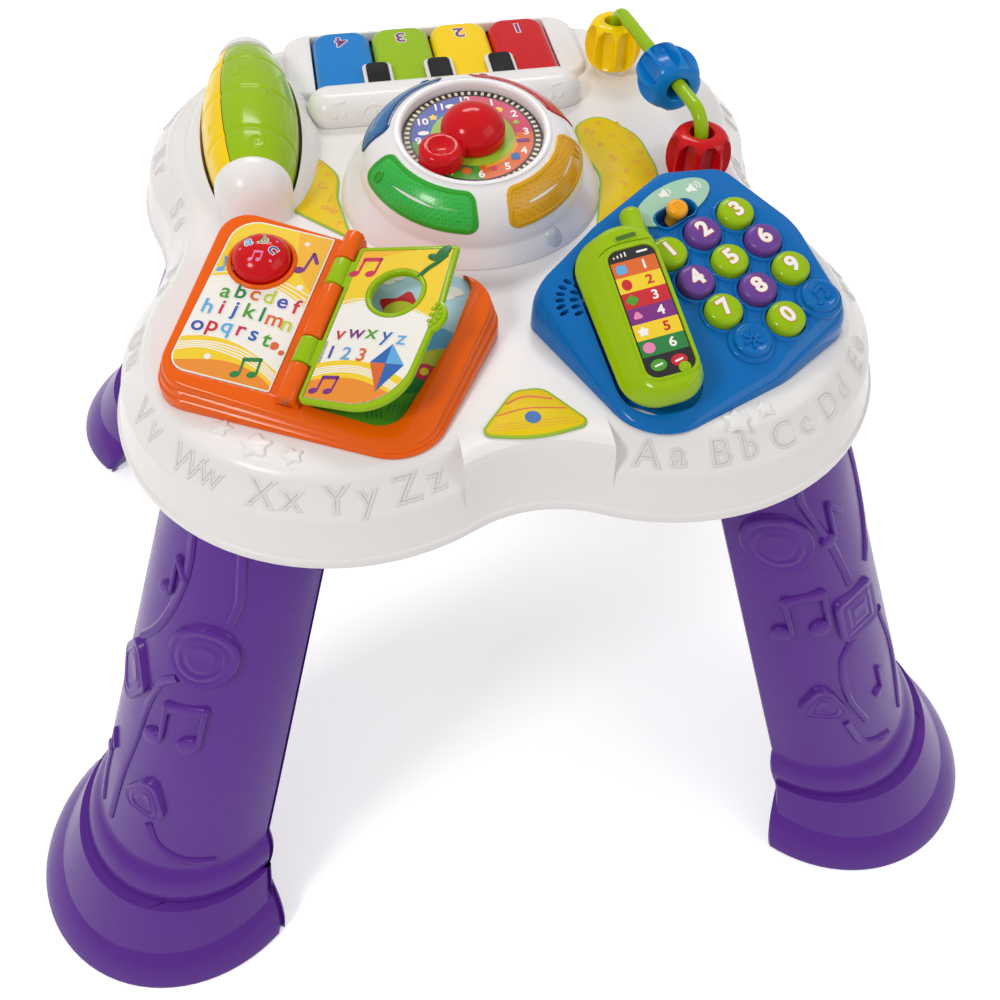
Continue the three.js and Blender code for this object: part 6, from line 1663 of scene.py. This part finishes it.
def make_volume():
    z = seat

    def label(inset):
        return ellipse(volume.half_x - inset, volume.half_y - inset, 80, volume.plate_x, volume.plate_y)
    plate = piece("volume_label", layered(label, [(0, z), (0, z + 0.8), (0.15, z + 0.9)]), "mint",
                  at=phone_top, stands_for=["volume_plate"], slot="mint_plate")
    slot_half, slot_depth = volume.travel + volume.radius, volume.radius
    tools = [tool(prism(box_outline(slot_half + 1.6, slot_depth + 1.6, slot_depth + 1.3, 0, 10, volume.x,
                                    volume.y), -3, 6), phone_top)]
    tools += [tool(prism(circle(phone.key_r + 2.7, 48, *key_place(i)), -3, 6), phone_top) for i in range(3)]
    combine(plate, tools)
    edge = [level(box_outline(slot_half + out, slot_depth + out, slot_depth + out - 0.2, 0, 12, volume.x,
                              volume.y), height)
            for out, height in ((1.5, -0.5), (1.5, 1.1), (1.2, 1.6), (0.8, 1.7), (0.5, 1.4), (0.46, -0.5))]
    piece("volume_slot_rim", loft(edge, True), "blue", at=phone_top, slot="blue", angle=60)
    for i, (x, y) in enumerate(((0.7, 45.6), (13.4, 41))):
        speaker = [(-3, -1.2), (-1.2, -1.2), (1.2, -2.8), (1.2, 2.8), (-1.2, 1.2), (-3, 1.2)]
        icon = [prism([Vector((x + u, y + v)) for u, v in speaker], z + 0.8, z + 1.05)]
        icon += [ribbon([(x + reach, y - reach * 0.7), (x + reach * 1.4, y), (x + reach, y + reach * 0.7)],
                        0.3, z + 0.8, z + 1.05) for reach in (2.2, 3.4)[:i + 1]]
        piece(f"volume_icon_{i + 1}", merged(icon), "ink_white", at=phone_top, slot="mint_plate")
    r, rise = volume.radius, volume.rise
    at = phone_top @ move(volume.x, volume.y)
    head = r + 0.9
    profile = [(0.01, -volume.skirt), (r, -volume.skirt), (r, rise * 0.3), (head - 0.3, rise * 0.42),
               (head, rise * 0.5), (head, rise * 0.74), (head - 0.3, rise * 0.86),
               (head - 1, rise * 0.96), (head - 1.8, rise), (0.01, rise)]
    piece("volume_slider", revolved(profile, 56), "amber", "volume_knob", at, ["volume_knob"], "yellow", 60)
    spiral = [(0.35 * t * math.cos(t * 1.25), 0.35 * t * math.sin(t * 1.25))
              for t in [i * 0.5 for i in range(15)]]
    recalculate(piece("volume_spiral", ribbon(spiral, 0.3, rise - 0.2, rise + 0.3, 0.15), "amber",
                      "volume_knob", at, slot="yellow", angle=60))


def make_handset():
    t, edge = handset.thickness, handset.edge
    shares = smooth_path([(edge * 1.7, 1, -t), (edge * 0.6, 1, -t * 0.72), (0, 0.95, -t * 0.45),
                          (edge * 0.04, 0.72, -t * 0.3), (edge * 0.14, 0.42, -edge * 0.95),
                          (edge * 0.42, 0.12, -edge * 0.32), (edge * 0.9, 0.02, -0.1), (edge * 1.2, 0, 0)],
                          4)
    ride = {"body": "handset", "at": handset_at, "slot": "green"}
    body = piece("handset_body",
                 loft([level(handset_outline(p.x, handset.belly * p.y), p.z) for p in shares]), "green",
                 stands_for=["handset"], angle=45, **ride)

    def screen(inset):
        return box_outline(handset.screen_w, handset.screen_l, handset.screen_corner, inset, 10, 0,
                           handset.screen_y)
    aerial_at = handset_at @ move(handset.aerial_x, 0, -t / 2) @ lying_rod
    tip = handset.top + handset.aerial
    r = handset.aerial_r
    mast = [(0.01, 20), (r, 20), (r, tip - 3.5), (r - 0.3, tip - 2), (r - 1.2, tip - 0.7),
            (r - 2.6, tip), (0.01, tip)]
    combine(body, [tool(revolved(mast, 56), aerial_at)], "UNION", 45)
    combine(body, [tool(prism(screen(-seat), -1, 9), handset_at)], angle=45)
    soften(body, 0.45, 2, 60, 45)
    rim = [level(screen(-inset), z) for inset, z in ((0.4, -0.6), (0.3, 0.25), (0.6, 0.55), (1.1, 0.6),
                                                     (1.6, 0.4), (2, -0.2))]
    recalculate(piece("handset_bezel", loft(rim, True), "green", angle=60, **ride))
    fold = ribbon([(-27, 24.5), (-17, 28.6), (-9, 33.4), (-2, 34.4), (6, 34), (17, 32.6)], 0.3, -0.75, 0.6)
    combine(body, [tool(fold, handset_at)], angle=45)
    slot_frame = [level(tilted(box_outline(4.6 + out, 1.2 + out, 1 + out, 0, 8), 3, 0.6, 37.2), z) for out,
                  z in ((0.9, -0.2), (0.8, 0.3), (0.4, 0.42), (0.1, 0.25), (0, -0.3))]
    recalculate(piece("earpiece_frame", loft(slot_frame, True), "green", angle=60, **ride))
    # A flat dark green plate in the frame: painted shade where the slot's recess is
    piece("earpiece_slot_shade", prism(tilted(box_outline(4.5, 1.1, 0.9, 0, 8), 3, 0.6, 37.2), -0.3, 0.06),
          "slot_painted_shade", **ride)
    nub = revolved([(2.6, -0.4), (2.5, 0.5), (2, 0.9), (1.5, 0.8), (1.3, 1.1), (0.6, 1.3), (0.01, 1.3)], 40)
    piece("handset_nub", nub, "green", "handset", handset_at @ move(5.2, -31.4), slot="green", angle=60)
    piece("screen_plate", prism(screen(0), seat - 1, 0), "ink_black", "handset", handset_at,
          ["handset_screen"], "printed_card")
    bands = ["ink_orange", "ink_yellow", "ink_red", "ink_purple", "ink_yellow", "ink_dark_green"]
    lowest, step = -21.8, 8
    for i, look in enumerate(reversed(bands)):
        y = lowest + i * step
        centre = y + step / 2 - 1
        band = prism(box_outline(12, step / 2, 0.05, 0, 1, 0, centre), -0.2, 0.08)
        made = piece(f"screen_band_{6 - i}", band, look, "handset", handset_at, slot="printed_card")
        combine(made, [tool(prism(screen(0.35), -1, 1), handset_at)], "INTERSECT")
        shapes = [lambda k: circle(2.6 - k, 28, -6, centre), lambda k: star(3, k, -6, centre),
                  lambda k: [Vector((p.x - 6, p.y + centre)) for p in polygon(3, 3, k, 0.3)],
                  lambda k: [Vector((p.x - 6, p.y + centre)) for p in polygon(3, 4, k, 0.2)],
                  lambda k: ellipse(2.2 - k, 2.8 - k, 28, -6, centre),
                  lambda k: box_outline(2.3, 2.3, 1, k, 6, -6, centre)]
        piece(f"screen_icon_{6 - i}", pad(shapes[i], 0, 0.16),
              ["ink_blush", "ink_white", "ink_blush", "ink_green", "ink_red", "ink_sky"][i], "handset",
              handset_at, slot="printed_card")
        words(f"screen_number_{6 - i}", str(6 - i), 6.4, "ink_red" if look == "ink_yellow" else "ink_white",
              handset_at @ move(4, centre, 0.13), "handset", 0.05, 0.15)
    for name, x, look in (("green", -4.6, "ink_green"), ("red", 4, "ink_red")):
        piece(f"screen_button_{name}", pad(lambda inset: ellipse(3.4 - inset, 2.8 - inset, 32, x, -27.6), 0,
                                           0.2), look, "handset", handset_at, slot="printed_card")
        piece(f"screen_dash_{name}", stroke(x - 1.4, -27.9, x + 1.4, -27.3, 0.45, 0.1, 0.3), "ink_white",
              "handset", handset_at, slot="printed_card")
    tiny = [stroke(-7.5 + k * 1.7, 27.6, -7.5 + k * 1.7, 28 + k * 0.5, 0.3, 0, 0.12)
            for k in range(4)] + [stroke(3, 28.2, 7, 28.2, 0.5, 0, 0.12)]
    piece("screen_status", merged(tiny), "ink_white", "handset", handset_at, slot="printed_card")


# Legs

leg_places = {
    "leg_front_left": (-1, -1, leg.front_x, leg.front_y),
    "leg_front_right": (1, -1, leg.front_x, leg.front_y),
    "leg_rear_left": (-1, 1, leg.rear_x, leg.rear_y),
    "leg_rear_right": (1, 1, leg.rear_x, leg.rear_y),
}


def leg_levels():
    """Heights and half widths from the floor up: flared foot, crease, collar, tapering shank."""
    spread = leg.foot - leg.crease
    levels = [(0, leg.foot - 1), (0.4, leg.foot - 0.3), (1.2, leg.foot)]
    for i in range(1, 17):
        rise = i / 16
        levels.append((rise * leg.crease_z, leg.foot - spread * rise ** 1.7))
    bulge = leg.collar - leg.crease
    for i in range(1, 9):
        rise = i / 8
        levels.append((leg.crease_z + (leg.collar_z - leg.crease_z) * rise,
                       leg.crease + bulge * math.sqrt(1 - (1 - rise) ** 2)))
    fall = leg.collar - leg.shank
    for i in range(1, 9):
        rise = i / 8
        levels.append((leg.collar_z + (leg.collar_top - leg.collar_z) * rise,
                       leg.shank + fall * (1 - rise ** 2.6)))
    levels.append((leg.collar_top + 1.5, leg.shank - 0.2))
    top = leg.top - seat
    for i in range(1, 7):
        share = i / 6
        z = leg.collar_top + 1.5 + (top - leg.collar_top - 1.5) * share
        levels.append((z, leg.shank + (leg.end - leg.shank) * share))
    return levels


def leg_section(half, steps=40):
    """A D section: a half circle outwards and a flat chord inwards, with round corners."""
    corner = 3.5
    points = [Vector((-math.cos(math.pi * i / steps) * half, math.sin(math.pi * i / steps) * half))
              for i in range(steps + 1)]
    body = [p for p in points if p.y > corner]
    left = [Vector((-half + 0.1, corner * 0.5)), Vector((-half + corner * 0.3, corner * 0.12)),
            Vector((-half + corner, 0))]
    right = [Vector((-p.x, p.y)) for p in reversed(left)]
    middle = [Vector((half * u, 0)) for u in (0.5, 0, -0.5)]
    return left[::-1] + body + right + middle


def make_legs():
    top = leg.top - seat
    for name, (sx, sy, tx, ty) in leg_places.items():
        out = Vector((sx, sy)).normalized()
        side = Vector((-out.y, out.x))
        rings = []
        hollow = [(44, leg.foot - 12, 3), (20, leg.foot - 5, 3), (0, leg.foot - 1, 3)]
        for z, half, wall_room in hollow + [(z, half, 0) for z, half in leg_levels()]:
            share = z / top
            x = sx * (leg.foot_x + (tx - leg.foot_x) * share)
            y = sy * (leg.foot_y + (ty - leg.foot_y) * share)
            section = [Vector((q.x, q.y + wall_room)) for q in leg_section(half - wall_room * 2)]
            rings.append([Vector((x + side.x * p.x + out.x * p.y, y + side.y * p.x + out.y * p.y, z))
                          for p in section])
        made = piece(f"{name}_skin", loft(rings), "purple", stands_for=[name], slot="purple", angle=35)
        recalculate(made)


# Raised signs on the legs

def leg_half(z):
    levels = leg_levels()
    for (z0, h0), (z1, h1) in zip(levels, levels[1:]):
        if z <= z1:
            return h0 + (h1 - h0) * (z - z0) / max(z1 - z0, 1e-6)
    return levels[-1][1]


def leg_bend(name, degrees, height):
    """Lays a flat shape on the round side of a leg; degrees run round it from its right edge."""
    sx, sy, tx, ty = leg_places[name]
    out = Vector((sx, sy)).normalized()
    side = Vector((-out.y, out.x))
    top = leg.top - seat

    def bend(p):
        z = min(max(height + p.y, 0), top)
        half = leg_half(z)
        angle = math.radians(degrees) - p.x / half
        reach = half + p.z
        share = z / top
        x = sx * (leg.foot_x + (tx - leg.foot_x) * share) + (side.x * math.cos(angle)
            + out.x * math.sin(angle)) * reach
        y = sy * (leg.foot_y + (ty - leg.foot_y) * share) + (side.y * math.cos(angle)
            + out.y * math.sin(angle)) * reach
        return Vector((x, y, z))
    return bend


def medal(outline, rise=3):
    """A thick raised plate with a groove and a raised middle."""
    return layered(outline, [(-0.6, -0.8), (0, 0.3), (0.2, rise - 0.6), (0.8, rise), (2.4, rise),
                             (2.9, rise - 0.35), (3.6, rise - 0.4), (4.2, rise), (5.4, rise),
                             (5.9, rise - 0.6),
                             (7.4, rise - 0.7), (7.9, rise - 0.35), (8.6, rise - 0.35), (9.2, rise - 0.5)])


sign_shapes = {
    "disc": lambda: medal(lambda inset: circle(max(17.5 - inset * 1.3, 0.4), 56)),
    "diamond": lambda: medal(lambda inset: polygon(23 - inset * 1.5, 4, 0, 0.26, 90, 0.66)),
    "triangle": lambda: medal(lambda inset: polygon(20 - inset * 1.6, 3, 0, 0.3, 84)),
    "square": lambda: medal(lambda inset: box_outline(15, 15, 6, min(inset, 9) * 1.3, 8), 2.6),
    "note": lambda: note(26, False, -1, 2.4, 1.2),
    "notes": lambda: note(34, True, -1, 2.6, 1.3),
    "small_note": lambda: note(21, False, -1, 2, 1),
}
first_signs = [("note", 99, 246), ("disc", 69, 211), ("diamond", 117, 175), ("notes", 76, 164),
               ("small_note", 128, 112), ("triangle", 85, 109)]
second_signs = [("note", 110, 241), ("disc", 146, 236), ("square", 103, 176), ("notes", 141, 186),
                ("small_note", 98, 118), ("triangle", 140, 118)]
first_ribs = [[(92, 279), (90, 254), (94, 232), (103, 212), (116, 196)],
              [(64, 279), (61, 262), (58, 244), (60, 232)],
              [(82, 193), (92, 184), (98, 166), (102, 140), (108, 110), (112, 72)],
              [(130, 106), (131, 88), (127, 70)], [(80, 92), (72, 80), (56, 72), (34, 68)]]
second_ribs = [[(120, 279), (122, 258), (112, 232), (106, 208), (104, 196)],
               [(76, 279), (68, 250), (72, 222), (84, 198)],
               [(112, 160), (122, 146), (124, 120), (116, 96)], [(80, 158), (72, 120), (80, 76)],
               [(130, 100), (122, 80), (100, 72)]]


def make_leg_signs():
    for name in leg_places:
        first = name in ("leg_front_left", "leg_rear_right")
        signs, ribs = (first_signs, first_ribs) if first else (second_signs, second_ribs)
        for kind, degrees, height in signs:
            recalculate(piece(f"{name}_{kind}", bent(sign_shapes[kind](), leg_bend(name, degrees, height)),
                              "purple", slot="purple", angle=50))
        for i, path in enumerate(ribs):
            flat = [(math.radians(90 - a) * 50, z) for a, z in path]
            rib = bent(ribbon(flat, 2.3, -1, 1.5, 1), leg_bend(name, 90, 0))
            recalculate(piece(f"{name}_rib_{i + 1}", rib, "purple", slot="purple", angle=50))


# Floor, backdrop and light

def make_stage():
    look = Look("pale_floor", 0.9)
    path = look.node("ShaderNodeLightPath")
    seen = look.math("MAXIMUM", path.outputs["Is Camera Ray"],
                     look.math("MAXIMUM", path.outputs["Is Glossy Ray"],
                               path.outputs["Is Transmission Ray"]))
    look.shader.inputs["Base Color"].default_value = linear("f4f3f2")
    look.shader.inputs["Specular IOR Level"].default_value = 0.1
    look.shader.inputs["Emission Color"].default_value = (1, 1, 1, 1)
    look.link(look.math("MULTIPLY", seen, 0.42), look.shader.inputs["Emission Strength"])
    looks["floor"] = look.material
    reach = 9000
    corners = [Vector((u * reach, v * reach, 0)) for u, v in ((-1, -1), (1, -1), (1, 1), (-1, 1))]
    floor = piece("floor", (corners, [(0, 1, 2, 3)]), "floor", None)
    world = bpy.data.worlds.new("studio")
    scene.world = world
    world.use_nodes = True
    tree = world.node_tree
    sky = tree.nodes["Background"]
    sky.inputs["Color"].default_value = (1, 1, 1, 1)
    rays = tree.nodes.new("ShaderNodeLightPath")
    low = tree.nodes.new("ShaderNodeMapRange")
    low.inputs["To Min"].default_value = 0.55
    low.inputs["To Max"].default_value = 1.0
    tree.links.new(rays.outputs["Is Camera Ray"], low.inputs["Value"])
    tree.links.new(low.outputs["Result"], sky.inputs["Strength"])


lamps = [("key_left", (-1.1, -0.7, 1.6), (0.38, 0.38), 10), ("fill_right", (1.3, -0.8, 1.3), (1.2, 1.0), 5),
         ("top_rear", (0.1, 1.2, 1.7), (0.9, 0.3), 8)]
lit_point = Vector((0, 0, 0.25))


def make_lamps():
    for name, place, size, power in lamps:
        data = bpy.data.lights.new(name, "AREA")
        data.shape = "RECTANGLE"
        data.size, data.size_y = size
        data.energy = power
        obj = bpy.data.objects.new(name, data)
        obj.location = place
        obj.rotation_euler = (lit_point - Vector(place)).to_track_quat("-Z", "Y").to_euler()
        scene.collection.objects.link(obj)


make_camera()
make_stage()
make_lamps()
dress_nodes()
make_shell()
make_band_letters()
make_stars()
make_roller()
make_piano()
make_dome()
make_lenses()
make_dial()
make_knob()
make_rail()
make_beads()
make_plates()
make_book()
make_phone()
make_legs()
make_leg_signs()

scene.view_settings.view_transform = "Standard"
bpy.context.view_layer.update()
